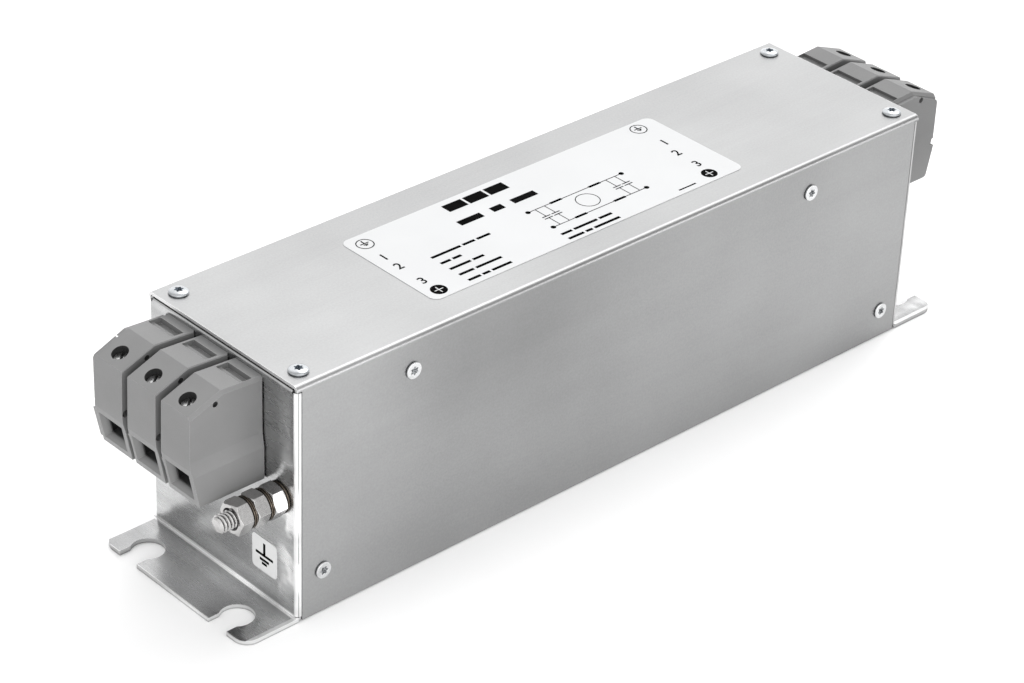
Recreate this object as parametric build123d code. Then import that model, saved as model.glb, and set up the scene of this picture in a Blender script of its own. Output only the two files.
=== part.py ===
from build123d import *
import math
import os

# A three-phase line filter in a folded steel case, with three screw terminals and an earth
# stud at each end. All sizes are in mm. X runs from the line end (-X) to the load end (+X),
# Y across the case and Z up. The origin is on the mounting surface, under the middle.

# Case
case_length = 270.0        # over the outer faces of the two end plates
case_width = 71.0          # over the cover's sides
case_height = 84.0         # mounting surface to the top of the cover
cover_sheet = 1.0
cover_bend = 1.8           # outer radius of the cover's long folds
cover_lift = 0.4           # lower edge of the cover's sides above the mounting surface
cover_end_gap = 0.25       # between the cover's side edges and the end plates' side lips
cover_top_inset = 0.3      # from the plate's outer face to the cover's top edge
nest_gap = 0.15            # between sheets that sit inside each other
overrun = 1.0              # cutters run this far past the faces that they cut
root = 0.2                 # joined solids reach this far into each other

# End plates, each with its foot, side lips and top tab folded from one blank
plate_sheet = 1.5
plate_bend = 0.2           # inner radius of its folds
tab_length = 12.0          # from the plate's outer face to the end of the top tab
tab_relief = 0.5           # slit between neighbouring folds
lip_flat = 0.15            # side lips, past their folds
lip_top_gap = 1.2          # cover's underside to the tops of the side lips
foot_reach = 20.0
foot_corner = 5.0
slot_inset = 12.5          # from the plate's face to the middle of a mounting slot
slot_spacing = 44.6
slot_radius = 5.6
slot_mouth = 8.8

# Base plate, a shallow channel between the end plates
base_sheet = 1.0
base_flange = 20.0         # height of its long flanges
base_bend = 1.0            # inner radius of its folds
base_end_gap = 0.15
base_end_flange = 12.0     # height of the flanges at its ends
base_end_flange_width = 52.0
base_flange_setback = 2.2  # flanges stop short of the base's ends

# Cross braces under the cover's top
brace_sheet = 1.2
brace_width = 14.0
brace_drop = 5.2           # cover's top to the top of the brace's web
brace_leg = 13.0
brace_bend = 1.0

# Case screws
screw_shank = 3.0
screw_clearance = 0.4      # in the diameter of the cover's holes
thread_clearance = 0.1     # in the diameter of the holes that the screws bite into
top_head_diameter = 6.4
top_head_height = 1.4
top_screw_length = 7.0
top_screw_end_inset = 6.4
top_screw_side_inset = 7.0
side_head_diameter = 6.2
side_head_height = 1.0
side_screw_length = 8.0
low_screw_end_inset = 10.0
line_low_screw_height = 15.5
load_low_screw_height = 11.0
brace_line_inset = 44.6    # line end to the first brace and its screws
brace_load_inset = 52.5    # load end to the second brace and its screws
brace_screw_drop = 11.4    # cover's top to the brace screws
pan_edge_share = 0.22      # upright edge of the domed head, as a share of its height
pan_dome_point = (0.72, 0.76)  # point on the dome, as shares of radius and height
flat_chamfer = 0.3
recess_diameter = 2.7      # six-lobed recess, over the lobes
recess_waist = 1.9         # over its inner corners
recess_lobe = 0.7          # width of a lobe
recess_depth = 1.0
screw_turn = 37.0          # degrees from one screw's recess to the next

# Terminal modules, profile sizes measured out from the plate and up from the underside
terminal_pitch = 16.3
terminal_offset = 3.0      # middle terminal from the case's centre line
terminal_width = 13.6
terminal_drop = 3.4        # cover's top to the terminal's rear top edge
terminal_height = 35.2     # underside to the rear top edge
crest_reach = 14.9
crest_rise = 0.9
brow_reach = 26.9
brow_fall = 3.7
chin_reach = 27.4
chin_height = 13.6
toe_reach = 24.6
terminal_chamfer = 1.0     # on the outer side of the outer terminals
terminal_edge = 0.35       # on the other top edges
terminal_seam = 0.4        # recess round the terminal's rear face
slot_rear = 3.2            # marker slot behind the top
slot_front = 5.6
ledge_front = 7.8
ledge_depth = 0.9
marker_slot_depth = 1.8
marker_slot_width = 11.4
pin_hole_diameter = 2.0
pin_hole_reach = 17.6
pin_hole_drop = 2.5        # rear top edge to the pin hole
pin_hole_depth = 1.2
pad_thickness = 0.8        # swelling of one side below the chin
pad_rise = 5.0
chin_hole_diameter = 2.5   # blind hole in the inner sides, above the chin
chin_hole_inset = 1.5
chin_hole_rise = 3.0
chin_hole_depth = 1.4
rib_thickness = 1.2        # coupling rib on the other side
rib_setback = 0.9
rib_rear = 2.0
rib_corner = 2.0
rib_rise = 1.0
wire_mouth_width = 11.6
wire_mouth_height = 9.8
wire_throat_width = 8.6
wire_throat_height = 8.2
wire_throat_lift = 0.4     # throat's middle above the wire's axis
wire_funnel_depth = 2.0
wire_room_margin = 1.0     # chamber behind the throat, past the throat's edges
wire_room_setback = 0.5    # funnel's end to the chamber
wire_sill = 1.7

# Clamp in each terminal, tilted so that the wire enters square to the lower front
cage_width = 10.0
cage_height = 16.6
cage_depth = 6.4
cage_wall = 1.0
cage_clearance = 0.2
cage_below_axis = 5.4      # wire axis to the underside of the cage
bar_above_axis = 4.0       # wire axis to the underside of the current bar
clamp_screw_shank = 4.8
clamp_screw_head = 5.0
clamp_screw_head_height = 3.2
clamp_screw_sunk = 2.0     # top of the screw below the sloping facet
clamp_screw_slot = 0.9
clamp_screw_slot_depth = 1.4
clamp_screw_turn = 35.0    # degrees, of the slot
screw_bore = 5.4
screw_bore_reach = 22.4    # where the bore meets the sloping facet
bar_width = 7.4
bar_thickness = 1.6
bar_clearance = 0.3
bar_tip_reach = 0.6        # past the cage, towards the wire mouth
bar_bend_gap = 2.0         # from the cage to the bar's bend
bar_inner_reach = 12.0     # inside the case, from the plate's inner face
neck_width = 10.6
neck_height = 6.4
neck_length = 3.5          # past the plate's inner face
window_clearance = 0.3

# Cover on the side of the last terminal of each row
end_cover_thickness = 1.3
end_cover_inset = 0.5      # from the profile, at the top and rear
end_cover_setback = 0.9    # behind the terminal's front, above the chin
end_cover_drop = 1.2
end_cover_brow_drop = 2.3
end_cover_step = 1.0       # fall from the brow to the front
end_cover_chin_step = 1.2  # below the chin, where the cover comes forward
end_cover_corner = 1.5
end_cover_notch = 1.5

# Earth studs, nuts and washers, M6
stud_diameter = 6.0
stud_reach = 23.8
stud_chamfer = 0.7
stud_head_diameter = 8.4
stud_head_height = 1.6
stud_hole_clearance = 0.2
line_stud_side = 8.0       # from the case's side to the line stud
line_stud_height = 42.2
load_stud_side = 15.5
load_stud_height = 30.0
nut_flats = 10.0
nut_height = 5.0
nut_bore_clearance = 0.2
nut_turns = (8.0, 24.0, 2.0)  # degrees, from the wall outwards
washer_outer = 11.2
washer_thickness = 0.6
base_washer_thickness = 0.8
washer_bore = 6.4
washer_gap = 0.05
washers_between = 2        # from nut to nut

# Labels, thin stickers
label_thickness = 0.15
rating_label_length = 134.0
rating_label_width = 45.0
rating_label_x = -5.0
rating_label_y = -1.5
rating_label_corner = 3.0
earth_label_width = 11.7
earth_label_height = 12.2
earth_label_side = 15.3    # from the case's side to the label's middle
earth_label_z = 16.7
earth_label_corner = 1.4

# Circuit board and what carries it
board_end_gap = 8.5        # from the plate's inner face
board_side_gap = 1.7       # from the base's flange
board_thickness = 1.6
insulator_thickness = 0.4
insulator_side_gap = 1.5
insulator_end_gap = 1.0    # from the ends of the base's flanges
insulator_hole = 8.2
standoff_height = 6.0
standoff_flats = 5.5
standoff_spigot = 4.2
standoff_hole = 2.6
standoff_inset = 8.0       # from the board's ends
standoff_middle = 27.0     # choke's axis to the inner standoffs
standoff_side_inset = 6.65  # from the board's sides
board_screw_head = 5.4
board_screw_head_height = 1.8
board_screw_length = 5.0
board_screw_shank = 2.4

# Choke
core_outer = 50.0
core_inner = 30.0
core_height = 20.0
core_round = 1.2
wire_diameter = 2.8
wire_gap = 0.3             # wire to core
turns = 7
turn_step = 13.4           # degrees from turn to turn
choke_base_thickness = 2.0
choke_base_gap = 0.3       # wire to base
choke_base_radius = 24.4
pedestal_width = 4.0
divider_thickness = 1.4
divider_gap = 0.3

# Capacitors and resistors on the board
x_cap_length = 26.5
x_cap_width = 15.0
x_cap_height = 24.0
x_cap_pitch = 19.0
x_cap_from_choke = 52.0    # choke's axis to the X capacitors
y_cap_length = 7.0
y_cap_width = 13.0
y_cap_height = 12.0
y_cap_pitch = 16.0
y_cap_from_choke = 34.0
cap_chamfer = 0.6
resistor_diameter = 5.0
resistor_length = 13.0
resistor_lead = 0.8
resistor_lead_spread = 18.0
resistor_lift = 1.0
resistor_pitch = 9.0
resistor_from_choke = 78.0

# Positions worked out from the sizes above
half_length = case_length / 2
half_width = case_width / 2
nest_half_width = half_width - cover_sheet - nest_gap
nest_top = case_height - cover_sheet - nest_gap
plate_fold = plate_bend + plate_sheet
wall_half_width = half_width - plate_fold
lip_length = plate_fold + lip_flat
tab_half_width = wall_half_width - tab_relief
lip_top = case_height - cover_sheet - lip_top_gap
flange_outer_y = nest_half_width
flange_inner_y = flange_outer_y - base_sheet
terminal_base = case_height - terminal_drop - terminal_height
terminal_rows = [terminal_offset + terminal_pitch * i for i in (-1, 0, 1)]
clamp_tilt = math.degrees(math.atan2(chin_reach - toe_reach, chin_height))
brace_places = [-half_length + brace_line_inset, half_length - brace_load_inset]
low_screw_places = [(-half_length + low_screw_end_inset, line_low_screw_height),
                    (half_length - low_screw_end_inset, load_low_screw_height)]
board_half_length = half_length - plate_sheet - board_end_gap
board_half_width = flange_inner_y - board_side_gap
board_bottom = base_sheet + standoff_height
board_top = board_bottom + board_thickness
standoff_reach = board_half_length - standoff_inset
standoff_side = board_half_width - standoff_side_inset
standoff_places = [(x, y) for x in (-standoff_reach, -standoff_middle, standoff_middle,
                                    standoff_reach)
                   for y in (-standoff_side, standoff_side)]
line_stud_y = -half_width + line_stud_side
load_stud_y = half_width - load_stud_side


def box(x0, x1, y0, y1, z0, z1):
    return Pos((x0 + x1) / 2, (y0 + y1) / 2, (z0 + z1) / 2) * Box(x1 - x0, y1 - y0, z1 - z0)


def along_y(sketch, half):
    """A sketch drawn in X and Z, made solid from -half to half in Y."""
    return extrude(Plane.XZ * sketch, amount=half, both=True)


def along_x(sketch, half):
    """A sketch drawn in Y and Z, made solid from -half to half in X."""
    return extrude(Plane.YZ * sketch, amount=half, both=True)


def folded(points, sheet, inner_radius):
    """The section of a folded sheet along the middle of its thickness."""
    path = FilletPolyline(*points, radius=inner_radius + sheet / 2)
    return trace(path, line_width=sheet)


def rod(diameter, start, end):
    """A round bar between two points."""
    a, b = Vector(*start), Vector(*end)
    return Plane(a, z_dir=b - a) * Cylinder(diameter / 2, (b - a).length,
                                            align=(Align.CENTER, Align.CENTER, Align.MIN))


def at_end(end, part):
    """Place a part drawn with +X pointing out of an end plate: end -1 line, +1 load."""
    if end > 0:
        return Pos(half_length, 0, 0) * part
    return Pos(-half_length, 0, 0) * Rot(0, 0, 180) * part


def save(name, shape):
    export_step(shape, "parts/" + name + ".step")


def group(name, solids):
    """Separate solids of one kind in one file."""
    save(name, Compound(children=[solid.solid() for solid in solids]))


# Case

def cover():
    side = half_width - cover_sheet / 2
    top = case_height - cover_sheet / 2
    section = folded([(-side, cover_lift), (-side, top), (side, top), (side, cover_lift)],
                     cover_sheet, cover_bend - cover_sheet)
    shell = along_x(section, half_length - cover_top_inset)
    side_end = half_length - lip_length - cover_end_gap
    hole = screw_shank + screw_clearance
    for x_sign in (-1, 1):
        x0, x1 = sorted((x_sign * side_end, x_sign * (half_length + overrun)))
        for y_sign in (-1, 1):
            y0, y1 = sorted((y_sign * tab_half_width, y_sign * (half_width + overrun)))
            shell -= box(x0, x1, y0, y1, 0, case_height - cover_bend)
            x, y = top_screw_place(x_sign, y_sign)
            shell -= rod(hole, (x, y, nest_top - overrun), (x, y, case_height + overrun))
    for x, z in side_screw_places():
        shell -= rod(hole, (x, -half_width - overrun, z), (x, half_width + overrun, z))
    return shell


def top_screw_place(x_sign, y_sign):
    return (x_sign * (half_length - top_screw_end_inset),
            y_sign * (half_width - top_screw_side_inset))


def side_screw_places():
    braces = [(x, case_height - brace_screw_drop) for x in brace_places]
    return low_screw_places + braces


def mounting_slot(y):
    """Open slot in the foot: a round hole with a narrower mouth at the foot's edge."""
    low, high = -overrun, plate_sheet + overrun
    mouth = box(slot_inset, foot_reach + overrun, y - slot_mouth / 2, y + slot_mouth / 2,
                low, high)
    return mouth + rod(2 * slot_radius, (slot_inset, y, low), (slot_inset, y, high))


def end_plate(end):
    """Wall with foot, side lips and top tab; +X points out of the case while it is drawn."""
    t = plate_sheet
    section = folded([(foot_reach, t / 2), (-t / 2, t / 2), (-t / 2, nest_top - t / 2),
                      (-tab_length, nest_top - t / 2)], t, plate_bend)
    plate = along_y(section, half_width)
    for side in (-1, 1):
        y0, y1 = sorted((side * wall_half_width, side * (half_width + overrun)))
        plate -= box(-tab_length - overrun, t, y0, y1, plate_fold, case_height)
        y0, y1 = sorted((side * tab_half_width, side * (half_width + overrun)))
        plate -= box(-tab_length - overrun, t, y0, y1, nest_top - plate_fold, case_height)
    lip = folded([(-lip_length, half_width - t / 2), (-t / 2, half_width - t / 2),
                  (-t / 2, 0)], t, plate_bend)
    lip_low = plate_fold + nest_gap
    for side in (-1, 1):
        strip = extrude(lip, amount=lip_top - lip_low)
        if side < 0:
            strip = mirror(strip, about=Plane.XZ)
        strip = Pos(0, 0, lip_low) * strip
        y0, y1 = sorted((side * (tab_half_width - overrun), side * wall_half_width))
        strip -= box(-t - overrun, overrun, y0, y1, nest_top - plate_fold, case_height)
        y0, y1 = sorted((0, side * tab_half_width))
        strip -= box(-t - overrun, overrun, y0, y1, -overrun, case_height)
        plate += strip
    outer = plate.edges().filter_by(Axis.Z).group_by(Axis.X)[-1]
    plate = fillet(outer, foot_corner)
    for y in (-slot_spacing / 2, slot_spacing / 2):
        plate -= mounting_slot(y)
    # openings for the terminal necks, the stud and the case screws
    half_neck_y = (neck_width + window_clearance) / 2
    half_neck_z = (neck_height + window_clearance) / 2
    for y in terminal_rows:
        y_local = y * end
        z = terminal_base + bar_height()
        plate -= box(-t - overrun, overrun, y_local - half_neck_y, y_local + half_neck_y,
                     z - half_neck_z, z + half_neck_z)
    stud_y, stud_z = stud_place(end)
    plate -= rod(stud_diameter + stud_hole_clearance, (-t - overrun, stud_y * end, stud_z),
                 (overrun, stud_y * end, stud_z))
    bite = screw_shank + thread_clearance
    for side in (-1, 1):
        y = side * (half_width - top_screw_side_inset)
        plate -= rod(bite, (-top_screw_end_inset, y, nest_top - t - overrun),
                     (-top_screw_end_inset, y, case_height))
    return at_end(end, plate)


def stud_place(end):
    if end < 0:
        return line_stud_y, line_stud_height
    return load_stud_y, load_stud_height


def base_plate():
    side = flange_outer_y - base_sheet / 2
    section = folded([(-side, base_flange), (-side, base_sheet / 2), (side, base_sheet / 2),
                      (side, base_flange)], base_sheet, base_bend)
    half = half_length - plate_sheet - base_end_gap
    channel = along_x(section, half)
    for x_sign in (-1, 1):
        x0, x1 = sorted((x_sign * (half - base_flange_setback), x_sign * (half + overrun)))
        for y_sign in (-1, 1):
            y0, y1 = sorted((y_sign * (flange_inner_y - base_bend), y_sign * half_width))
            channel -= box(x0, x1, y0, y1, -overrun, base_flange + overrun)
    end_x, mid = half - base_sheet / 2, base_sheet / 2
    ends = folded([(-end_x, base_end_flange), (-end_x, mid), (end_x, mid), (end_x, base_end_flange)],
                  base_sheet, base_bend)
    channel += along_y(ends, base_end_flange_width / 2)
    bite = screw_shank + thread_clearance
    for x, z in low_screw_places:
        channel -= rod(bite, (x, -half_width, z), (x, half_width, z))
    for x, y in standoff_places:
        channel -= rod(standoff_spigot + thread_clearance, (x, y, -overrun),
                       (x, y, base_sheet + overrun))
    return channel


def brace(x):
    side = nest_half_width - brace_sheet / 2
    web = case_height - brace_drop - brace_sheet / 2
    low = case_height - brace_drop - brace_leg
    section = folded([(-side, low), (-side, web), (side, web), (side, low)],
                     brace_sheet, brace_bend)
    strap = Pos(x, 0, 0) * along_x(section, brace_width / 2)
    z = case_height - brace_screw_drop
    bite = screw_shank + thread_clearance
    return strap - rod(bite, (x, -half_width, z), (x, half_width, z))


# Screws, drawn with the seat of the head at the origin and the shank pointing down

def lobed_recess(top):
    """Round hole with six rounded lobes about it."""
    recess = Cylinder(recess_waist / 2, recess_depth * 2)
    reach = (recess_diameter - recess_lobe) / 2
    lobe = Cylinder(recess_lobe / 2, recess_depth * 2)
    for place in PolarLocations(reach, 6):
        recess += place * lobe
    return Pos(0, 0, top) * recess


def pan_screw():
    """Domed head: a flat underside, a short upright edge and an arc over the top."""
    r, h = top_head_diameter / 2, top_head_height
    edge = h * pan_edge_share
    rim = Line((r, 0), (r, edge))
    dome = ThreePointArc((r, edge), (r * pan_dome_point[0], h * pan_dome_point[1]), (0, h))
    outline = Line((0, 0), (r, 0)) + rim + dome + Line((0, h), (0, 0))
    head = revolve(Plane.XZ * make_face(outline), Axis.Z)
    screw = head + rod(screw_shank, (0, 0, root), (0, 0, -top_screw_length))
    return screw - lobed_recess(h)


def flat_screw():
    """Low disc head with a chamfered rim."""
    head = Cylinder(side_head_diameter / 2, side_head_height,
                    align=(Align.CENTER, Align.CENTER, Align.MIN))
    head = chamfer(head.edges().group_by(Axis.Z)[-1], flat_chamfer)
    screw = head + rod(screw_shank, (0, 0, root), (0, 0, -side_screw_length))
    return screw - lobed_recess(side_head_height)


def case_screws():
    top = pan_screw()
    corners = [(x_sign, y_sign) for x_sign in (-1, 1) for y_sign in (-1, 1)]
    heads = []
    for x_sign, y_sign in corners:
        seat = Pos(*top_screw_place(x_sign, y_sign), case_height)
        heads.append(seat * Rot(0, 0, screw_turn * len(heads)) * top)
    group("cover_top_screws", heads)
    flat = flat_screw()
    sides = []
    for x, z in side_screw_places():
        for side in (-1, 1):
            turn = Rot(-90 * side, 0, 0) * Rot(0, 0, screw_turn * len(sides))
            sides.append(Pos(x, side * half_width, z) * turn * flat)
    group("cover_side_screws", sides)


# Terminals, drawn with +X out of the plate, the underside at Z = 0 and Y = 0 in the middle

def terminal_profile():
    rear, crest = terminal_height, terminal_height + crest_rise
    brow = terminal_height - brow_fall
    return Polyline((0, 0), (0, rear), (crest_reach, crest), (brow_reach, brow),
                    (chin_reach, chin_height), (toe_reach, 0), close=True)


def clamp_point(along, across=0.0):
    """A point in the tilted clamp: along the wire from the mouth inwards, across upwards."""
    tilt = math.radians(clamp_tilt)
    middle = wire_sill + wire_mouth_height / 2
    face = toe_reach + (chin_reach - toe_reach) * middle / chin_height
    x = face - along * math.cos(tilt) + across * math.sin(tilt)
    z = middle + along * math.sin(tilt) + across * math.cos(tilt)
    return x, z


def clamp_frame(along, across=0.0):
    """Local frame in the clamp: X points out along the wire, Z up along the screw."""
    x, z = clamp_point(along, across)
    return Pos(x, 0, z) * Rot(0, clamp_tilt, 0)


def cage_centre():
    """Distance of the clamp screw's axis behind the wire mouth, along the wire."""
    facet_x, facet_z = screw_entry()
    face_x, face_z = clamp_point(0)
    tilt = math.radians(clamp_tilt)
    return -((facet_x - face_x) * math.cos(tilt) - (facet_z - face_z) * math.sin(tilt))


def screw_entry():
    """Where the screw's axis meets the sloping facet."""
    crest, brow = terminal_height + crest_rise, terminal_height - brow_fall
    share = (screw_bore_reach - crest_reach) / (brow_reach - crest_reach)
    return screw_bore_reach, crest + (brow - crest) * share


def screw_length_above_axis():
    """From the wire's axis up to the sloping facet, along the screw."""
    facet_x, facet_z = screw_entry()
    face_x, face_z = clamp_point(0)
    tilt = math.radians(clamp_tilt)
    return (facet_x - face_x) * math.sin(tilt) + (facet_z - face_z) * math.cos(tilt)


def bar_bend():
    """Where the bar turns from level to the clamp's tilt: middle of its thickness."""
    return clamp_point(cage_centre() + cage_depth / 2 + bar_bend_gap,
                       bar_above_axis + bar_thickness / 2)


def bar_height():
    """Middle of the level part of the bar, above the terminal's underside."""
    return bar_bend()[1]


def bar_section():
    """Current bar from the clamp, level through the plate, and down to the board."""
    tip_x, tip_z = clamp_point(cage_centre() - cage_depth / 2 - bar_tip_reach,
                               bar_above_axis + bar_thickness / 2)
    bend_x, bend_z = bar_bend()
    down_x = -plate_sheet - bar_inner_reach
    foot_z = board_top - terminal_base
    return [(tip_x, tip_z), (bend_x, bend_z), (down_x, bend_z), (down_x, foot_z)]


def terminal_body(low_side_outer, high_side_outer):
    """One moulding. The flags say which sides face out of the row, where edges are wider."""
    half = terminal_width / 2
    outline = terminal_profile()
    body = along_y(make_face(outline), half)
    for sign, outer in ((-1, low_side_outer), (1, high_side_outer)):
        top_edges = [edge for edge in body.edges().filter_by(GeomType.LINE)
                     if edge.center().Y * sign > half - 0.01
                     and edge.center().Z > terminal_height - brow_fall]
        body = chamfer(top_edges, terminal_chamfer if outer else terminal_edge)
    body += side_pad(half)
    if not low_side_outer:
        body += coupling_rib(half)
    # marker slot and ledge across the top
    top = terminal_height + crest_rise + overrun
    slot_half = marker_slot_width / 2
    body -= box(slot_rear, slot_front, -slot_half, slot_half,
                terminal_height - marker_slot_depth, top)
    ledge_rise = crest_rise * slot_rear / crest_reach
    body -= box(slot_front, ledge_front, -slot_half, slot_half,
                terminal_height + ledge_rise - ledge_depth, top)
    # pin holes, and the blind hole above the chin
    pin_z = terminal_height - pin_hole_drop
    for side in (-1, 1):
        body -= rod(pin_hole_diameter, (pin_hole_reach, side * (half + overrun), pin_z),
                    (pin_hole_reach, side * (half - pin_hole_depth), pin_z))
    if not high_side_outer:
        x, z = chin_reach - chin_hole_inset, chin_height + chin_hole_rise
        body -= rod(chin_hole_diameter, (x, half + pad_thickness + overrun, z),
                    (x, half - chin_hole_depth, z))
    # neck through the plate, and the seam behind the rear face
    z = bar_height()
    body += box(-plate_sheet - neck_length, root, -neck_width / 2, neck_width / 2,
                z - neck_height / 2, z + neck_height / 2)
    for side in (-1, 1):
        y0, y1 = sorted((side * (half - terminal_seam), side * terminal_pitch))
        body -= box(-overrun, terminal_seam, y0, y1, -overrun, terminal_height + overrun)
    return body - clamp_cavity() - bar_tunnel()


def side_pad(half):
    """Swelling of one side below the chin, fading out above it."""
    inner, outer = half - root, half + pad_thickness
    fade_from, fade_to = chin_height - pad_rise / 2, chin_height + pad_rise / 2
    shape = Polyline((inner, 0), (outer, 0), (outer, fade_from), (half, fade_to),
                     (inner, fade_to), close=True)
    wedge = extrude(Plane.YZ * make_face(shape), amount=chin_reach + overrun)
    return wedge & along_y(make_face(terminal_profile()), terminal_width)


def coupling_rib(half):
    """Rib on the side towards the next terminal, with a cut corner at the chin."""
    x_front = chin_reach - rib_setback
    x_toe = toe_reach - rib_setback
    top = chin_height - rib_rise
    shape = Polyline((rib_rear, rib_rise), (rib_rear, top), (x_front - rib_corner, top),
                     (x_front, top - rib_corner), (x_toe, rib_rise), close=True)
    rib = along_y(make_face(shape), (rib_thickness + root) / 2)
    return Pos(0, -half - (rib_thickness - root) / 2, 0) * rib


def clamp_cavity():
    """Hollow for wire, cage and screw: funnel, throat, chamber, cage room and screw bore."""
    centre = cage_centre()
    mouth = clamp_frame(0) * (Plane.YZ * Rectangle(wire_mouth_width, wire_mouth_height))
    throat = clamp_frame(wire_funnel_depth, wire_throat_lift) * (
        Plane.YZ * Rectangle(wire_throat_width, wire_throat_height))
    funnel = loft([mouth, throat])
    lead_in = clamp_frame(0) * (Pos(wire_sill / 2, 0, 0) * Box(
        wire_sill, wire_mouth_width, wire_mouth_height))
    run = centre - wire_funnel_depth
    passage = clamp_frame(wire_funnel_depth + run / 2, wire_throat_lift) * Box(
        run, wire_throat_width, wire_throat_height)
    chamber_start = wire_funnel_depth + wire_room_setback
    chamber = clamp_frame((chamber_start + centre) / 2, wire_throat_lift) * Box(
        centre - chamber_start, wire_throat_width + 2 * wire_room_margin,
        wire_throat_height + 2 * wire_room_margin)
    room_low = -cage_below_axis - cage_clearance
    room_high = room_low + cage_height + 2 * cage_clearance
    room = clamp_frame(centre, (room_low + room_high) / 2) * Box(
        cage_depth + 2 * cage_clearance, cage_width + 2 * cage_clearance, room_high - room_low)
    bore_length = screw_length_above_axis() + screw_bore
    bore = clamp_frame(centre) * Cylinder(screw_bore / 2, bore_length,
                                          align=(Align.CENTER, Align.CENTER, Align.MIN))
    return lead_in + funnel + passage + chamber + room + bore


def bar_tunnel():
    """Room for the bar through the rear wall and the neck."""
    points = bar_section()
    (tip_x, tip_z), (bend_x, bend_z) = points[0], points[1]
    half_height = bar_thickness / 2 + bar_clearance
    level = box(-plate_sheet - neck_length - overrun, bend_x, -bar_width / 2 - bar_clearance,
                bar_width / 2 + bar_clearance, bend_z - half_height, bend_z + half_height)
    tilted = folded([(tip_x, tip_z), (bend_x, bend_z), (bend_x - bar_bend_gap, bend_z)],
                    2 * half_height, bar_clearance)
    return level + along_y(tilted, bar_width / 2 + bar_clearance)


def clamp_cage():
    """Steel frame round the wire and the bar, with the screw through its top."""
    outer = Box(cage_depth, cage_width, cage_height)
    inner = Box(cage_depth + overrun, cage_width - 2 * cage_wall, cage_height - 2 * cage_wall)
    mid = cage_height / 2 - cage_below_axis
    screw = rod(clamp_screw_shank + thread_clearance, (0, 0, 0), (0, 0, cage_height))
    return clamp_frame(cage_centre(), mid) * (outer - inner - screw)


def clamp_screw():
    """Slotted screw standing on the bar, its head in the bore."""
    foot = bar_above_axis + bar_thickness
    top = screw_length_above_axis() - clamp_screw_sunk
    shank = rod(clamp_screw_shank, (0, 0, foot), (0, 0, top - clamp_screw_head_height / 2))
    head = rod(clamp_screw_head, (0, 0, top - clamp_screw_head_height), (0, 0, top))
    slot = Pos(0, 0, top) * Box(clamp_screw_head + overrun, clamp_screw_slot,
                                2 * clamp_screw_slot_depth)
    return clamp_frame(cage_centre()) * ((shank + head) - Rot(0, 0, clamp_screw_turn) * slot)


def current_bar():
    section = folded(bar_section(), bar_thickness, bar_thickness)
    return along_y(section, bar_width / 2)


def end_cover():
    """Flat cover over the terminal's side, stepped and notched at the chin."""
    rear = terminal_height - end_cover_drop
    crest = rear + crest_rise
    brow = terminal_height - brow_fall - end_cover_brow_drop
    front = chin_reach - end_cover_setback
    step_z = chin_height - end_cover_chin_step
    step_x = toe_reach + (chin_reach - toe_reach) * step_z / chin_height
    shape = Polyline((end_cover_inset, end_cover_inset), (end_cover_inset, rear),
                     (crest_reach, crest), (brow_reach - end_cover_setback, brow + end_cover_step),
                     (front, brow), (front, chin_height), (step_x, step_z),
                     (toe_reach, end_cover_inset), close=True)
    face = make_face(shape)
    face = fillet(face.vertices().group_by(Axis.Y)[0].sort_by(Axis.X)[-1], end_cover_corner)
    plate = along_y(face, end_cover_thickness / 2)
    plate -= rod(2 * end_cover_notch, (front, -terminal_pitch, chin_height),
                 (front, terminal_pitch, chin_height))
    pin_z = terminal_height - pin_hole_drop
    plate -= rod(pin_hole_diameter, (pin_hole_reach, -terminal_pitch, pin_z),
                 (pin_hole_reach, terminal_pitch, pin_z))
    y = -terminal_width / 2 - end_cover_thickness / 2
    return Pos(0, y, 0) * plate


def terminals():
    screws = []
    for end, side_name in ((-1, "line"), (1, "load")):
        rows = terminal_rows if end > 0 else terminal_rows[::-1]
        for number, y in enumerate(terminal_rows, start=1):
            local_y = y * end
            place = Pos(0, local_y, terminal_base)
            low_outer = y == rows[0]
            high_outer = y == rows[-1]
            body = terminal_body(low_outer, high_outer)
            save(f"{side_name}_terminal_{number}", at_end(end, place * body))
            save(f"{side_name}_clamp_cage_{number}", at_end(end, place * clamp_cage()))
            save(f"{side_name}_current_bar_{number}", at_end(end, place * current_bar()))
            screws.append(at_end(end, place * clamp_screw()))
        place = Pos(0, rows[0] * end, terminal_base)
        save(side_name + "_terminal_end_cover", at_end(end, place * end_cover()))
    group("clamp_screws", screws)


# Earth studs

def hex_nut(flats, height, bore):
    """Hexagon with both faces turned to a cone at 30 degrees, pointing along X."""
    corner = flats / math.sqrt(3)
    prism = extrude(RegularPolygon(corner, 6), amount=height)
    fall = (corner - flats / 2) * math.tan(math.radians(30))
    outline = Polyline((0, 0), (flats / 2, 0), (corner, fall), (corner, height - fall),
                       (flats / 2, height), (0, height), close=True)
    cone = revolve(Plane.XZ * make_face(outline), Axis.Z)
    return Rot(0, 90, 0) * ((prism & cone) - Cylinder(bore / 2, 3 * height))


def ring(outer, inner, thickness):
    disc = Cylinder(outer / 2, thickness, align=(Align.CENTER, Align.CENTER, Align.MIN))
    return Rot(0, 90, 0) * (disc - Cylinder(inner / 2, 3 * thickness))


def earth_stud():
    """Pressed-in stud with its head inside the case."""
    shank = rod(stud_diameter, (-plate_sheet - root, 0, 0), (stud_reach, 0, 0))
    shank = chamfer(shank.edges().group_by(Axis.X)[-1], stud_chamfer)
    head = rod(stud_head_diameter, (-plate_sheet - stud_head_height, 0, 0), (-plate_sheet, 0, 0))
    return shank + head


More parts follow.
